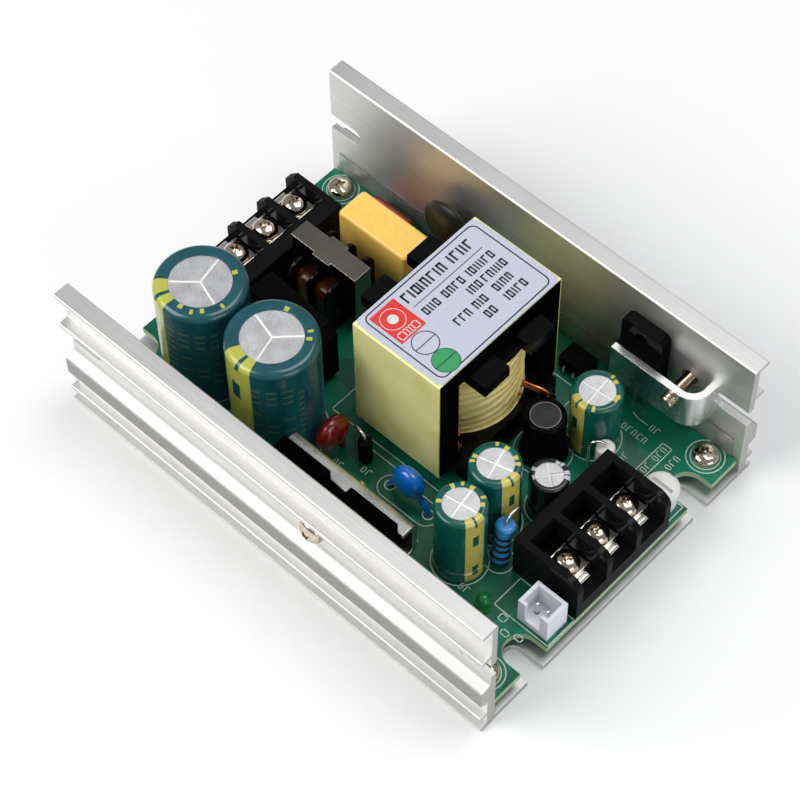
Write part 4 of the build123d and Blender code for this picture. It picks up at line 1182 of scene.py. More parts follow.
@dataclass
class CircuitBoard:
    """The board and the outlines printed on it."""

    edge: float = 0.06
    line: float = 0.22
    ink: float = 0.03
    screw_rings: tuple[float, ...] = (3.0, 3.85)
    can_gap: float = 0.75
    drum_ring: float = 5.9
    resistor_ring: tuple[float, float] = (1.9, 2.9)
    disc_slot: tuple[float, float] = (14.6, 2.7)
    disc_holes: tuple[float, float] = (5.0, 1.1)
    around: tuple[tuple[str, float, float, float, float], ...] = (
        ("transformer_core", 0, 0, 33.5, 36.2), ("connector_housing", -2.2, 0.3, 13.4, 7.6),
        ("x_capacitor", 0, 0, 19.6, 9.0))
    frames: tuple[tuple[float, float, float, float], ...] = (
        (41.2, -25.4, 1.7, 1.1), (43.8, -24.5, 1.7, 1.1), (46.4, -23.6, 1.7, 1.1),
        (49.0, -22.7, 1.7, 1.1), (44.0, -21.4, 1.5, 1.5), (36.6, -24.4, 5.0, 1.8),
        (42.3, 24.9, 2.3, 8.4))
    paths: tuple[tuple[Spot, ...], ...] = (
        ((32.2, 30.7), (34.0, 30.3), (36.2, 30.3)), ((53.4, 16.0), (53.4, 20.4), (52.0, 20.4)),
        ((38.4, -24.6), (38.4, -26.4), (40.1, -26.4)), ((-2.5, -10.6), (7.5, -10.6)),
        ((9.0, -21.6), (19.0, -21.6), (24.5, -27.0)))
    words: tuple[tuple[float, float, float, int], ...] = (
        (-3.8, -18.2, 0, 2), (1.6, -15.8, 0, 2), (17.4, -21.2, 0, 3), (33.2, -22.3, 0, 2),
        (43.05, 21.3, 90, 2), (43.05, 24.9, 90, 3), (46.2, 25.0, 90, 3), (36.9, 29.6, 0, 2),
        (32.4, 26.4, 0, 5), (38.2, 20.2, 90, 2))
    letter: tuple[float, float, float] = (1.5, 0.85, 0.2)
    spacing: float = 0.45

    def build(self) -> None:
        """Dress the board and print its outlines."""
        recast("circuit_board", "board_panel", Shades.board, "circuit_board", self.edge)
        self.face = Print(0, 0, high("circuit_board").z, self.ink)
        self.rings()
        self.disc_outline()
        for node, dx, dy, wide, deep in self.around:
            spot = middle(node)
            self.frame(spot.x + dx, spot.y + dy, wide, deep)
        for frame_sizes in self.frames:
            self.frame(*frame_sizes)
        for points in self.paths:
            self.path(points)
        for word in self.words:
            self.word(*word)
        self.face.form.done("board_print", Shades.mint, "circuit_board")

    def ring(self, x: float, y: float, radius: float) -> None:
        """Print a circle of the board's line."""
        self.face.ring(x, y, radius + self.line / 2, self.line)

    def path(self, points: Profile) -> None:
        """Print lines that close their own corners."""
        self.face.path(points, self.line, self.line / 2)

    def frame(self, x: float, y: float, wide: float, deep: float) -> None:
        """Print a rectangle about its centre."""
        self.path([(x + u * wide / 2, y + v * deep / 2)
                   for u, v in ((-1, -1), (1, -1), (1, 1), (-1, 1), (-1, -1))])

    def rings(self) -> None:
        """Circles round the screws and under the round parts."""
        for x, y in board_screw_spots():
            for radius in self.screw_rings:
                self.ring(x, y, radius)
        for node in ("bulk_capacitor_1", "bulk_capacitor_2", "output_capacitor_1",
                     "output_capacitor_2", "output_capacitor_3", "small_capacitor"):
            spot = middle(node)
            self.ring(spot.x, spot.y, (high(node).x - low(node).x) / 2 + self.can_gap)
        spot = middle("inductor_sleeve")
        self.ring(spot.x, spot.y, self.drum_ring)
        back, radius = self.resistor_ring
        self.ring(middle("banded_resistor").x, low("banded_resistor").y + back, radius)

    def disc_outline(self) -> None:
        """A slot shape under the disc capacitor, and the rings of its holes."""
        spot = middle("disc_capacitor")
        wide, radius = self.disc_slot
        half, y = wide / 2 - radius, spot.y - 0.2
        points = [*arc((spot.x + half, y), radius, -90, 90, 12),
                  *arc((spot.x - half, y), radius, 90, 270, 12)]
        self.path([*points, points[0]])
        for side in (-1, 1):
            self.ring(spot.x + side * self.disc_holes[0], spot.y, self.disc_holes[1])

    def word(self, x: float, y: float, turn: float, count: int) -> None:
        """Print a short row of plain strokes and boxes.

        Args:
            x: the row's corner along the walls.
            y: the row's corner across them.
            turn: the row's turn in degrees.
            count: how many strokes or boxes it has.
        """
        at = self.face.place(x, y) @ turned_about("Z", turn)
        tall, wide, line = self.letter
        for i in range(count):
            u = i * (wide + self.spacing)
            bars = [((u, 0), (line, tall)), ((u, tall - line), (wide, line))]
            if i % 2 == 0:
                bars.append(((u + wide - line, 0), (line, tall)))
            if i % 3 == 0:
                bars.append(((u, 0), (wide, line)))
            for corner, size in bars:
                self.face.bar(corner, size, at)


@dataclass
class TerminalRow:
    """One barrier block's moulding."""

    name: str
    node: str
    edge: float = 0.18

    def build(self) -> None:
        """Dress the moulding."""
        recast(self.node, f"{self.name}_moulding", Shades.block, "block_plastic", self.edge)


@dataclass
class TerminalMetal:
    """The plates, clamp washers and screws of both blocks."""

    head_radius: float = 2.7
    head_height: float = 2.8
    recess: tuple[float, float, float] = (3.4, 0.8, 1.15)
    shank: float = 1.5
    shank_length: float = 4.0
    plate_edge: float = 0.08
    washer_edge: float = 0.16
    floors: tuple[float, float] = (6.2, 4.2)
    stack: float = 1.5
    pitch: float = 8.5
    turns: tuple[float, ...] = (15, 50, 75)
    tongue_reach: tuple[float, float] = (3.0, 4.1)
    tongue_half: float = 1.5
    tongue_thickness: float = 0.75
    roll: float = 0.62
    roll_edge: float = 0.1

    def build(self) -> None:
        """Make the plated parts."""
        recast("terminals", "terminal_plates", Shades.bright, "terminal_metal", self.plate_edge)
        washers = Form.of("clamp_plates").soften(self.washer_edge)
        for x, y, z, _turn in self.spots():
            self.tongue(washers, x, y, z)
        washers.done("clamp_washers", Shades.bright, "terminal_metal", "clamp_plates")
        form = Form()
        end = -self.shank_length
        for x, y, z, turn in self.spots():
            at = upright(x, y, z) @ turned_about("Z", turn)
            cross_head(form, at, self.head_radius, self.head_height, *self.recess)
            form.turned([(0, end), (self.shank, end), (self.shank, 0), (0, 0)], at, steps=32)
        form.done("terminal_screw_set", Shades.nickel, "terminal_metal", "terminal_screws")

    def tongue(self, form: Form, x: float, y: float, z: float) -> None:
        """Add a clamp's front tongue, which ends in a roll.

        Args:
            form: what it is added to.
            x: the clamp's centre along the walls.
            y: its centre across them.
            z: its upper face.
        """
        side = 1 if x > 0 else -1
        half, roll, edge = self.tongue_half, self.roll, self.roll_edge
        inner, outer = sorted(x + side * reach for reach in self.tongue_reach)
        form.block((inner, y - half, z - self.tongue_thickness), (outer, y + half, z), edge)
        form.turned([(0, -half), (roll - edge, -half), (roll, edge - half),
                     (roll, half - edge), (roll - edge, half), (0, half)],
                    upright(x + side * self.tongue_reach[1], y, z - roll)
                    @ turned_about("X", 90), steps=32)

    def spots(self) -> list[tuple[float, float, float, float]]:
        """Where each screw's head sits, and its turn.

        Returns:
            X, Y, Z and the turn in degrees of each screw.
        """
        places = []
        for node, x, floor in (
                ("input_terminal_block", low("terminal_screws").x + self.head_radius,
                 self.floors[0]),
                ("output_terminal_block", high("terminal_screws").x - self.head_radius,
                 self.floors[1])):
            centre = middle(node).y
            seat = high("circuit_board").z + floor + self.stack
            for i, turn in zip((-1, 0, 1), self.turns):
                places.append((x, centre + i * self.pitch, seat, turn))
        return places


@dataclass
class Choke:
    """The common-mode choke: core, bobbin, turns and clip."""

    core_edge: float = 0.2
    bobbin_edge: float = 0.1
    turns_edge: float = 0.3
    clip_edge: float = 0.12

    def build(self) -> None:
        """Dress the choke's pieces."""
        recast("choke_core", "choke_ring", Shades.ferrite, "ferrite", self.core_edge)
        recast("choke_bobbin", "choke_former", Shades.bobbin, "bobbin_plastic",
               self.bobbin_edge)
        recast("choke_windings", "choke_coils", Shades.copper, "copper", self.turns_edge)
        recast("choke_clip", "choke_spring", Shades.clip, "clip_metal", self.clip_edge)


@dataclass
class DippedPart:
    """A part dipped in resin, its coat run down both legs."""

    name: str
    node: str
    finish: Finish
    slot: str
    along_x: bool
    spread: float
    diameter: float
    swell: float = 0.0
    leg: float = 0.7
    straight: float = 1.2
    knee: float = 0.75
    voxel: float = 0.16

    def build(self) -> None:
        """Fuse a flattened ball and two legs into one smooth coat."""
        first, last = low(self.node), high(self.node)
        centre = middle(self.node)
        floor = high("circuit_board").z
        size = last - first
        thick = (size.y if self.along_x else size.x) + self.swell
        radius = self.diameter / 2
        ball = bmesh.new()
        bmesh.ops.create_uvsphere(ball, u_segments=40, v_segments=24, radius=1.0)
        bmesh.ops.scale(ball, vec=(radius, thick / 2, radius), verts=ball.verts)
        middle_z = last.z - radius
        form = Form().join(ball, Matrix.Translation((0, 0, middle_z)))
        for side in (-1, 1):
            foot = side * self.spread / 2
            knee = side * min(self.spread / 2, radius * self.knee)
            form.wire([(foot, 0, floor), (foot, 0, floor + self.straight),
                       (knee, 0, middle_z - radius * self.knee), (knee * 0.6, 0, middle_z)],
                      self.leg, 4)
        turn = 0 if self.along_x else 90
        at = Matrix.Translation((centre.x, centre.y, 0)) @ turned_about("Z", turn)
        bmesh.ops.transform(form.bm, matrix=at, verts=form.bm.verts)
        self.melt(form).done(f"{self.name}_coat", self.finish, self.slot, self.node)

    def melt(self, form: Form) -> Form:
        """Fuse a form's shells into one skin and smooth it.

        Args:
            form: the shells, which are used up.

        Returns:
            The skin.
        """
        holder = mesh_object("melt", form.bm)
        fuse = holder.modifiers.new("fuse", "REMESH")
        fuse.mode = "VOXEL"
        fuse.voxel_size = self.voxel
        ease = holder.modifiers.new("ease", "SMOOTH")
        ease.iterations = 8
        ease.factor = 0.6
        return Form(finished(holder))


@dataclass
class Can:
    """An electrolytic can: the stamped top, and the sleeve shrunk over its shoulder."""

    name: str
    can: str
    slot: str
    sleeve: Finish
    rim: float
    shoulder: float = 1.2
    thickness: float = 0.25
    crimp: float = 2.2
    groove: float = 0.4
    foot: float = 0.5
    edge: float = 0.05
    turn: float = 0.0

    def build(self, *nodes: str) -> None:
        """Make the sleeve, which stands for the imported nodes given, and the can.

        Args:
            nodes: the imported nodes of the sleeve.
        """
        form = Form()
        self.wrap(form)
        form.done(f"{self.name}_wrap", self.sleeve, self.slot, *nodes)
        finish = CanTop(f"{self.name}_face", high(self.can).z)
        spot = middle(self.can)
        form = Form.of(self.can).soften(self.edge, segments=1)
        bmesh.ops.rotate(form.bm, cent=(spot.x, spot.y, 0), verts=form.bm.verts,
                         matrix=Matrix.Rotation(math.radians(self.turn), 3, "Z"))
        form.done(f"{self.name}_can", finish, "can_metal", self.can)

    def wrap(self, form: Form) -> None:
        """Add the sleeve: a crimp near its foot, and a shoulder that curls over the top.

        Args:
            form: what it is added to.
        """
        spot = middle(self.can)
        floor = high("circuit_board").z
        top = high(self.can).z - floor
        inner = (high(self.can).x - low(self.can).x) / 2
        outer = inner + self.thickness
        lip = inner - self.rim + self.thickness
        neck = outer - self.groove
        bend = self.foot + self.crimp
        crown = top + self.thickness
        form.turned([(inner, self.foot), (outer, self.foot), (outer, bend),
                     (neck, bend + 0.45), (neck, bend + 0.65), (outer, bend + 1.1),
                     *arc((outer - self.shoulder, crown - self.shoulder), self.shoulder,
                          0, 90, 8),
                     (lip + 0.1, crown), (lip, top + self.thickness * 0.6), (lip, top),
                     (inner - 0.5, top - 0.3), (inner, top - 0.6)],
                    upright(spot.x, spot.y, floor), FINE_STEPS, closed=True)


@dataclass
class Transformer:
    """Core, bobbin, taped winding, tape, label and the winding's wire ends."""

    core_edge: float = 0.35
    bobbin_edge: float = 0.15
    tape_edge: float = 0.06
    label_edge: float = 0.03
    bore: float = 7.9
    ridges: int = 9
    ridge: float = 0.5
    crest: float = 0.86
    slant: float = 3.0
    dent: float = 0.12
    rings: int = 90
    steps: int = 180
    overhang: float = 0.55
    thick_wire: float = 0.34
    thin_wire: float = 0.24
    tap_wire: float = 0.3

    def build(self) -> None:
        """Make the transformer's pieces."""
        recast("transformer_core", "core_halves", Shades.ferrite, "ferrite", self.core_edge)
        recast("transformer_bobbin", "core_bobbin", Shades.bobbin, "bobbin_plastic",
               self.bobbin_edge)
        recast("transformer_tape", "core_tape_band", Shades.tape, "tape", self.tape_edge)
        dress("transformer_pins", Shades.tinned)
        self.winding()
        self.label()
        self.wires()

    def winding(self) -> None:
        """The winding's tape, whose laps slant and wave round it."""
        first, last = low("transformer_winding"), high("transformer_winding")
        radius, tall = (last.x - first.x) / 2, last.z - first.z
        side = [(radius, tall * (i + 0.5) / self.rings) for i in range(self.rings)]
        form = Form().turned([(self.bore, 0), (radius, 0), *side, (radius, tall),
                              (self.bore, tall)], steps=self.steps, closed=True)
        for vert in form.bm.verts:
            reach = vert.co.xy.length
            if reach > self.bore + 1 and 0.02 < vert.co.z < tall - 0.02:
                angle = math.atan2(vert.co.y, vert.co.x)
                vert.co.xy *= self.lap(angle, vert.co.z, radius, tall) / reach
        spot = middle("transformer_winding")
        bmesh.ops.translate(form.bm, vec=(spot.x, spot.y, first.z), verts=form.bm.verts)
        finish = Tape("winding_tape", (0.92, 0.78, 0.30), (0.66, 0.47, 0.13), (4, 4, 1.2),
                      0.06, brown_top=last.z)
        form.done("winding_tape", finish, "tape", "transformer_winding", smooth=60)

    def lap(self, angle: float, z: float, radius: float, tall: float) -> float:
        """How far the tape's face lies from the winding's axis.

        Args:
            angle: the place round the winding in radians.
            z: the height above its foot.
            radius: the winding's radius.
            tall: the winding's height.

        Returns:
            The distance in millimetres.
        """
        sway = 0.4 * math.sin(3 * angle + 1.0) - self.slant * math.sin(angle + 0.3)
        sway += 0.3 * math.sin(2 * angle + z * 0.6)
        share = (z + sway) / tall * self.ridges % 1.0
        rise = share ** 0.7 if share < self.crest else (1 - share) / 0.16
        dent = self.dent * math.sin(5 * angle + z * 0.7)
        return radius - self.ridge + self.ridge * rise * 0.8 - abs(dent)

    def label(self) -> None:
        """The label and its plain print."""
        form = Form.of("transformer_label").soften(self.label_edge, segments=1)
        spot = middle("transformer_label")
        long = high("transformer_label").y - low("transformer_label").y
        bmesh.ops.scale(form.bm, vec=(1, 1 + 2 * self.overhang / long, 1),
                        space=Matrix.Translation((0, -spot.y, 0)), verts=form.bm.verts)
        form.done("label_sheet", Ink("label_paper", (0.525, 0.543, 0.65), 0.42, 0.03),
                  "label", "transformer_label")
        Label().build()

    def wires(self) -> None:
        """The bunches of wire that leave the winding for the bobbin's pins."""
        x, y = middle("transformer_winding").xy
        form = Form()
        for i in range(3):
            drop = 0.6 * i
            form.wire([(x + 11.2, y + 6.0, 17.2 - drop), (x + 12.8, y + 6.6, 17.0 - drop),
                       (x + 16.0, y + 7.8, 16.6 - drop), (x + 17.8, y + 9.4, 14.4 - drop),
                       (x + 16.2, y + 10.0, 10.6), (x + 13.2, y + 9.9, 8.8)], self.thick_wire)
            form.wire([(x + 9.0, y - 9.4 - drop * 0.3, 14.6), (x + 10.2, y - 10.6 - drop, 13.2),
                       (x + 12.8, y - 11.2 - drop, 11.8), (x + 13.9, y - 10.8 - drop * 0.6, 9.8),
                       (x + 13.1, y - 9.9, 8.6)], self.thin_wire)
        form.wire([(x + 12.2, y + 4.6, 15.6), (x + 13.2, y + 4.6, 15.0),
                   (x + 13.9, y + 4.9, 13.0), (x + 13.2, y + 4.9, 8.6)], self.tap_wire)
        form.done("winding_ends", Shades.enamel, "copper")


@dataclass
class Label:
    """The label's border and plain print, with nothing to read."""

    ink: float = 0.02
    border: float = 0.28
    inset: float = 0.85
    corner: float = 1.5
    rows: tuple[tuple[float, float, tuple[float, ...]], ...] = (
        (2.3, 2.4, (9.3, 12.6, 13.6, 20.9, 22.0, 27.6)),
        (7.3, 1.9, (9.8, 14.4, 15.2, 21.2, 22.0, 29.0)),
        (10.3, 1.9, (19.0, 22.4, 23.0, 29.0)),
        (13.3, 1.9, (12.0, 16.6, 17.2, 20.2, 22.8, 28.0)),
        (16.3, 1.9, (17.2, 20.2, 22.8, 28.0)))
    underline: tuple[Spot, Spot] = ((6.0, 9.4), (6.0, 28.6))
    red_field: tuple[Spot, Spot] = ((1.7, 1.7), (8.5, 6.6))
    red_mark: Spot = (5.0, 4.7)
    circle: tuple[float, float, float] = (13.1, 4.9, 2.75)
    green_disc: tuple[float, float, float] = (18.6, 4.55, 2.75)

    def build(self) -> None:
        """Print the dark lines, the coloured fields and what lies on them."""
        self.size = high("transformer_label") - low("transformer_label")
        dark = self.layer(0)
        self.outline(dark)
        self.bars(dark)
        x, y, radius = self.circle
        dark.ring(x, y, radius, 0.2)
        dark.rule((x, y - 2.7), (x, y + 2.7), 0.2)
        self.dry(dark, "label_lines", "label_ink", (0.018, 0.018, 0.022))
        red = self.layer(0)
        red.bar(*self.red_field)
        self.dry(red, "label_red_field", "label_red", (0.72, 0.035, 0.03))
        self.dry(self.marks(), "label_pale_marks", "label_pale", (0.80, 0.70, 0.70))
        green = self.layer(1)
        green.disc(*self.green_disc)
        self.dry(green, "label_green_disc", "label_green", (0.03, 0.33, 0.11))
        x, y, radius = self.green_disc
        dark = self.layer(2)
        dark.ring(x, y, radius + 0.03, 0.14)
        dark.rule((x, y - 2.65), (x, y + 2.65), 0.22)
        self.dry(dark, "label_disc_lines", "label_disc_ink", (0.01, 0.06, 0.03))

    def layer(self, number: int) -> Print:
        """An empty print on the label, on top of so many others.

        Args:
            number: how many prints lie under it.

        Returns:
            The print.
        """
        first = low("transformer_label")
        top = high("transformer_label").z + number * self.ink
        return Print(first.x, first.y, top, self.ink)

    def dry(self, layer: Print, name: str, ink: str, colour: Colour) -> None:
        """Turn a print into a piece of its own."""
        layer.form.done(name, Ink(ink, colour), "label")

    def outline(self, layer: Print) -> None:
        """Print the border, with its rounded corners.

        Args:
            layer: the print that it is added to.
        """
        near, r = self.inset + self.corner, self.corner
        x1, y1 = self.size.x - near, self.size.y - near
        points = []
        for centre, start in (((x1, y1), 0), ((near, y1), 90), ((near, near), 180),
                              ((x1, near), 270)):
            points += arc(centre, r, start, start + 90)
        layer.path([*points, points[0]], self.border)

    def bars(self, layer: Print) -> None:
        """Print plain bars where the lines of text would be."""
        for across, height, ends in self.rows:
            for start, end in zip(ends[::2], ends[1::2]):
                self.strokes(layer, across, height, start, end)
        layer.rule(*self.underline, 0.16)

    def strokes(self, layer: Print, across: float, height: float, start: float,
                end: float) -> None:
        """Fill part of a row with plain strokes and boxes.

        Args:
            layer: the print that they are added to.
            across: the row's upper edge on the label.
            height: the strokes' height.
            start: where they start along the label.
            end: where they end.
        """
        wide = height * 0.19
        while start + wide < end:
            kind = random.random()
            box = height * 0.56 if kind > 0.3 else wide
            layer.bar((across, start), (height, wide))
            if kind > 0.45:
                layer.bar((across, start + box - wide), (height, wide))
            if kind > 0.3:
                layer.bar((across, start), (wide, box))
            if kind > 0.62:
                layer.bar((across + height - wide, start), (wide, box))
            start += box + height * 0.2

    def marks(self) -> Print:
        """The pale ring, the dot and the row of boxes on the red field.

        Returns:
            Their print.
        """
        pale = self.layer(1)
        pale.ring(*self.red_mark, 2.55, 0.14)
        pale.disc(*self.red_mark, 1.1)
        for across in (8.0, 9.6):
            pale.bar((across, 2.3), (0.22, 5.2))
        for along in (2.3, 3.8, 4.6, 5.3, 6.0, 7.3):
            pale.bar((8.0, along), (1.8, 0.2))
        return pale


@dataclass
class Drum:
    """The drum inductor in its shrunk tube."""

    edge: float = 0.15
    tube: float = 0.3
    mouth: float = 3.12
    curl: float = 0.9
    rim: float = 3.1
    rim_width: float = 0.24

    def build(self) -> None:
        """Make the tube, dress the drum and raise the rim on its face."""
        recast("inductor_core", "drum_ferrite", Shades.drum_face, "ferrite", self.edge)
        dress("inductor_winding", Shades.copper)
        spot, floor = middle("inductor_core"), high("circuit_board").z
        tall = high("inductor_core").z - floor
        r = high("inductor_core").x - spot.x
        skirt = high("inductor_sleeve").x - middle("inductor_sleeve").x
        outer = r + self.tube
        Form().turned([(skirt - 0.3, 0.2), (skirt, 0.2), (skirt - 0.05, 0.9),
                       (skirt - 0.35, 2.2), (outer + 0.25, 3.6), (outer, 5.0),
                       (outer, tall - 0.7),
                       *arc((outer - self.curl, tall - 0.62), self.curl, 0, 90, 8),
                       (self.mouth + 0.08, tall + 0.24), (self.mouth, tall + 0.14),
                       (self.mouth, tall), (r - 0.2, tall), (r + 0.02, tall - 0.25),
                       (r + 0.02, 4.9), (skirt - 0.65, 2.2)],
                      upright(spot.x, spot.y, floor), FINE_STEPS, closed=True).done(
            "drum_tube", Shades.shrink, "shrink_tube", "inductor_sleeve")
        rim, inner = self.rim, self.rim - self.rim_width
        Form().turned([(inner, 0), (rim, 0), (rim, 0.08), (inner + 0.08, 0.12), (inner, 0.04)],
                      upright(spot.x, spot.y, floor + tall), closed=True).done(
            "drum_rim", Shades.drum_ring, "ferrite")


@dataclass
class AxialParts:
    """The leaning banded resistor, the white one and the small diode."""

    lean: float = 7.0
    foot_y: float = -12.4
    foot_rise: float = 1.0
    cap_radius: float = 2.05
    waist: float = 1.72
    length: float = 11.0
    cap_share: float = 0.23
    corner: float = 0.75
    bands: tuple[float, ...] = (2.1, 3.9, 5.7, 7.6)
    half_band: float = 0.42

    def build(self) -> None:
        """Make the three bodies and dress their wires."""
        self.banded()
        self.pill("upright_resistor", 1.95, 7.0, Shades.ceramic, "white_ceramic")
        self.pill("startup_diode", 1.45, 6.8, Shades.epoxy, "epoxy")
        Form.of("component_leads").done("thin_leads", Shades.tinned, "tinned",
                                        "component_leads")

    def banded(self) -> None:
        """The dumbbell body with its four bands."""
        foot = (middle("banded_resistor").x, self.foot_y,
                high("circuit_board").z + self.foot_rise)
        r, w, h, c = self.cap_radius, self.waist, self.length, self.corner
        cap = h * self.cap_share
        lower = [(0.5, 0.02), *arc((r - c, c), c, -90, 0, 5), (r, cap - 0.5),
                 (r - 0.08, cap - 0.15), (w + 0.06, cap + 0.55), (w, cap + 0.8)]
        upper = [(x, h - z) for x, z in reversed(lower)]
        at = Matrix.Translation(foot) @ turned_about("X", -self.lean)
        finish = Lacquer("blue_lacquer", (0.035, 0.27, 0.62), self.bands, self.half_band,
                         (0.008, 0.008, 0.010), foot, (-self.lean, 0, 0))
        Form().turned([(0, 0), *lower, *upper, (0, h)], at, SMALL_STEPS).done(
            "banded_body", finish, "resistor_blue", "banded_resistor")

    def pill(self, node: str, r: float, h: float, finish: Finish, slot: str) -> None:
        """A plain body with round shoulders.

        Args:
            node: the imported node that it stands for.
            r: its radius.
            h: its height.
            finish: its finish.
            slot: the record's material slot.
        """
        spot, edge = middle(node), r * 0.35
        outline = [(0, 0), *arc((r - edge, edge), edge, -90, 0, 5),
                   *arc((r - edge, h - edge), edge, 0, 90, 5), (0, h)]
        Form().turned(outline, upright(spot.x, spot.y, low(node).z), SMALL_STEPS).done(
            f"{node}_body", finish, slot, node)


@dataclass
class SmallParts:
    """Fuse, box capacitor, bridge, lamp, header, trimmer and chips."""

    box_edge: float = 0.3
    package_edge: float = 0.2
    fine_edge: float = 0.1
    soft_edge: float = 0.15
    box_rings: tuple[tuple[float, float], ...] = ((1.6, -5.6), (1.0, -1.6), (1.0, 1.2),
                                                  (1.0, 4.0))
    ring_width: float = 0.22
    lens: float = 1.5
    flange: float = 1.7
    lens_side: float = 2.5

    def build(self) -> None:
        """Make the small parts."""
        case = Form.of("x_capacitor").soften(self.box_edge, segments=3)
        self.moulded_marks(case)
        case.done("box_case", Shades.golden, "box_capacitor", "x_capacitor")
        recast("bridge_rectifier", "bridge_case", Shades.epoxy, "epoxy", self.package_edge)
        recast("control_chips", "chip_cases", Shades.epoxy, "epoxy", self.soft_edge)
        Form.of("fuse").done("fuse_tube", Shades.red_tube, "red_coating", "fuse", smooth=50)
        recast("connector_housing", "header_shroud", Shades.nylon, "white_nylon",
               self.fine_edge)
        recast("connector_pins", "header_pins", Shades.tinned, "tinned", self.fine_edge)
        dress("power_leads", Shades.tinned)
        self.lamp()
        recast("trimmer_body", "trimmer_base", Shades.nylon, "white_nylon", self.soft_edge)
        recast("trimmer_rotor", "trimmer_dome", Shades.milky, "white_nylon", self.soft_edge,
               body=ROTOR, smooth=50)

    def moulded_marks(self, form: Form) -> None:
        """Add the faint raised rings on the box capacitor."""
        spot, top = middle("x_capacitor"), high("x_capacitor").z
        for radius, shift in self.box_rings:
            outer = radius + self.ring_width
            form.turned([(radius, -0.02), (outer, -0.02), (outer - 0.04, 0.05),
                         (radius + 0.04, 0.05)], upright(spot.x + shift, spot.y + 0.6, top),
                        closed=True)

    def lamp(self) -> None:
        """The lamp's domed lens."""
        spot, r = middle("status_led"), self.lens
        outline = [(0, 0), (self.flange, 0), (self.flange, 0.6), (r, 0.75),
                   (r, self.lens_side), *arc((0, self.lens_side), r, 0, 90, 10)]
        Form().turned(outline, upright(spot.x, spot.y, high("circuit_board").z),
                      SMALL_STEPS).done("lamp_lens", Shades.lamp, "lamp", "status_led")


@dataclass
class Clamps:
    """The packages on the walls and what presses them there."""

    package_edge: float = 0.2
    cap_edge: float = 0.4
    strip_edge: float = 0.25
    bar_edge: float = 0.45
    head_radius: float = 2.75
    head: float = 2.3
    recess: float = 3.2
    thread_pitch: float = 0.5
    thread: tuple[float, float] = (1.24, 1.5)

    def build(self) -> None:
        """Make the clamps, their screws and the packages."""
        recast("output_rectifier", "rectifier_case", Shades.epoxy, "epoxy", self.package_edge)
        recast("switching_transistors", "switch_cases", Shades.epoxy, "epoxy",
               self.package_edge)
        # The caps wear near-black painted shade, so they merge into the shaded gap by the wall.
        recast("transistor_sleeves", "switch_caps", Shades.silicone_and_gap_shade, "soft_insulator",
               self.cap_edge, 3)
        recast("clamp_strip", "strip_clamp", Shades.zinc, "clamp_steel", self.strip_edge, 3)
        recast("clamp_bar", "bar_clamp", Shades.bar, "bar_steel", self.bar_edge, 3)
        self.screw("clamp_strip_screw", 1)
        self.screw("clamp_bar_screw", -1)

    def screw(self, node: str, side: int) -> None:
        """A screw through a wall, its head outside and its thread inside.

        Args:
            node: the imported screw.
            side: 1 for the right wall and -1 for the left.
        """
        first, last, spot = low(node), high(node), middle(node)
        seat = last.y - self.head if side > 0 else first.y + self.head
        tip = seat - first.y if side > 0 else last.y - seat
        at = (Matrix.Translation((spot.x, seat, spot.z)) @ turned_about("X", -90 * side)
              @ turned_about("Z", 30))
        form = Form()
        cross_head(form, at, self.head_radius, self.head, self.recess)
        root, crest = self.thread
        outline = [(0, -tip), (1.1, -tip), (1.35, 0.3 - tip)]
        for i in range(int((tip - 0.6) / self.thread_pitch)):
            z = 0.3 - tip + i * self.thread_pitch
            outline += [(root, z + 0.05), (crest, z + self.thread_pitch * 0.5)]
        outline += [(1.4, -0.1), (1.4, 0), (0, 0)]
        form.turned(outline, at, 40)
        form.done(f"{node}_plated", Shades.nickel, "steel_screws", node, smooth=25)


class SleeveKind(Enum):
    """The colours of the cans' sleeves."""

    TEAL = ((0.006, 0.085, 0.105), (0.46, 0.47, 0.07))
    GREEN = ((0.0, 0.105, 0.078), (0.58, 0.50, 0.10))
    BLACK = ((0.010, 0.010, 0.011), (0.55, 0.60, 0.70))

    def finish(self, name: str, node: str, **details: object) -> Sleeve:
        """A printed finish centred on a can."""
        spot = middle(node)
        return Sleeve(name, (spot.x, spot.y), high(node).z, *self.value, **details)


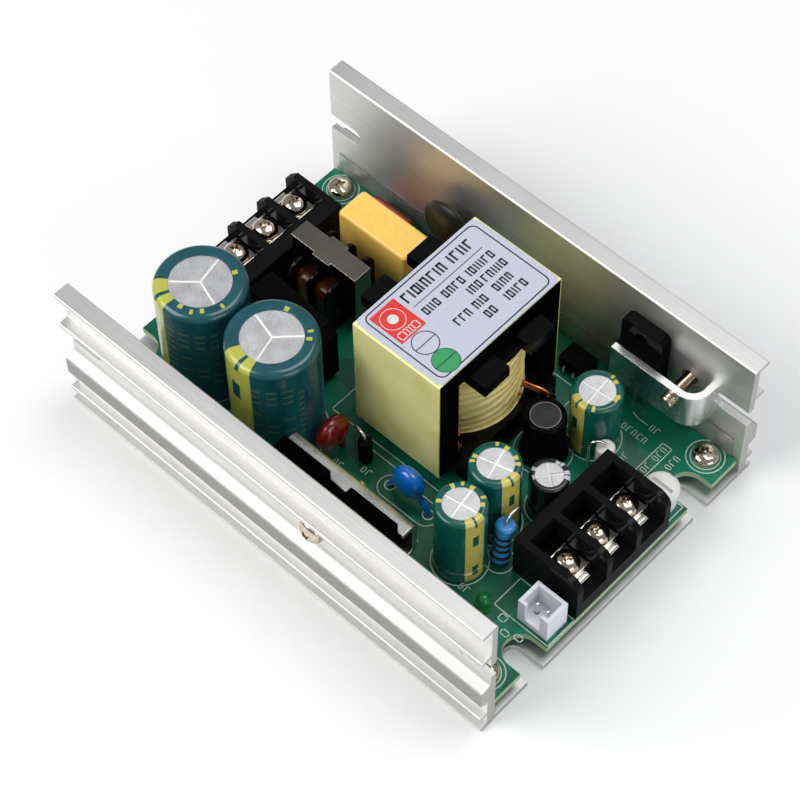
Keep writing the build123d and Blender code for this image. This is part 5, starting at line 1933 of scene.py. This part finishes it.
@dataclass
class CanBank:
    """Every electrolytic can, with its sleeve's stripe and marks in degrees."""

    bulk: tuple[tuple[float, float, float, tuple[float, ...]], ...] = (
        (41.5, 241, 300, (282, 302, 318, 60, 350)), (45, 264, 318, (110, 52, 38)))
    output: tuple[tuple[float, float, tuple[float, ...]], ...] = (
        (-7, 258, (70, 88, 20, 8, 300)), (-5, 350, (100, 128, 40, 60, 215, 200)),
        (1, 346, (100, 128, 155, 38, 60, 215)))

    def build(self) -> None:
        """Make the bulk cans, the output cans and the small one."""
        for number, (turn, stripe, printed, marks) in enumerate(self.bulk, 1):
            can = f"bulk_capacitor_{number}"
            finish = SleeveKind.TEAL.finish(f"teal_sleeve_{number}", can, stripe_at=stripe,
                                            stripe_half=23, rim_marks=marks,
                                            print_at=printed, print_half=34, gap_at=4,
                                            mark_pitch=15.0)
            Can(f"bulk_{number}", can, "teal_sleeve", finish, 3.1, 1.5, turn=turn).build(
                f"bulk_sleeve_{number}")
        for number, (turn, stripe, marks) in enumerate(self.output, 1):
            can = f"output_capacitor_{number}"
            finish = SleeveKind.GREEN.finish(f"green_sleeve_{number}", can, stripe_at=stripe,
                                             stripe_half=24, rim_marks=marks, rim=4.4,
                                             mark_pitch=10.5)
            sleeve = Can(f"output_{number}", can, "green_sleeve", finish, 1.55, 0.9, turn=turn)
            sleeve.build(*(("output_sleeves",) if number == 1 else ()))
        finish = SleeveKind.BLACK.finish("small_sleeve_print", "small_capacitor", stripe_at=40,
                                         stripe_half=17, mark_pitch=3.0, rim=3.4,
                                         rim_marks=(100, 84, 200, 235))
        Can("small", "small_capacitor", "black_sleeve", finish, 1.2, 0.7).build("small_sleeve")


def main() -> None:
    """Build the whole scene in order."""
    logging.basicConfig(level=logging.INFO, format="%(message)s")
    random.seed(7)
    Studio().build()
    Enclosure().build()
    CircuitBoard().build()
    TerminalRow("input_block", "input_terminal_block").build()
    TerminalRow("output_block", "output_terminal_block").build()
    TerminalMetal().build()
    Choke().build()
    CanBank().build()
    Transformer().build()
    Drum().build()
    AxialParts().build()
    SmallParts().build()
    Clamps().build()
    DippedPart("blue", "disc_capacitor", Shades.blue_dip, "blue_coating", True, 10.0,
               7.6, 1.1).build()
    DippedPart("red", "dipped_capacitor", Shades.red_dip, "red_coating", False, 5.0,
               8.2, 1.0).build()
    DippedPart("dark", "thermistor", Shades.dark_dip, "dark_coating", True, 5.0,
               13.0).build()


if __name__ == "__main__":
    main()
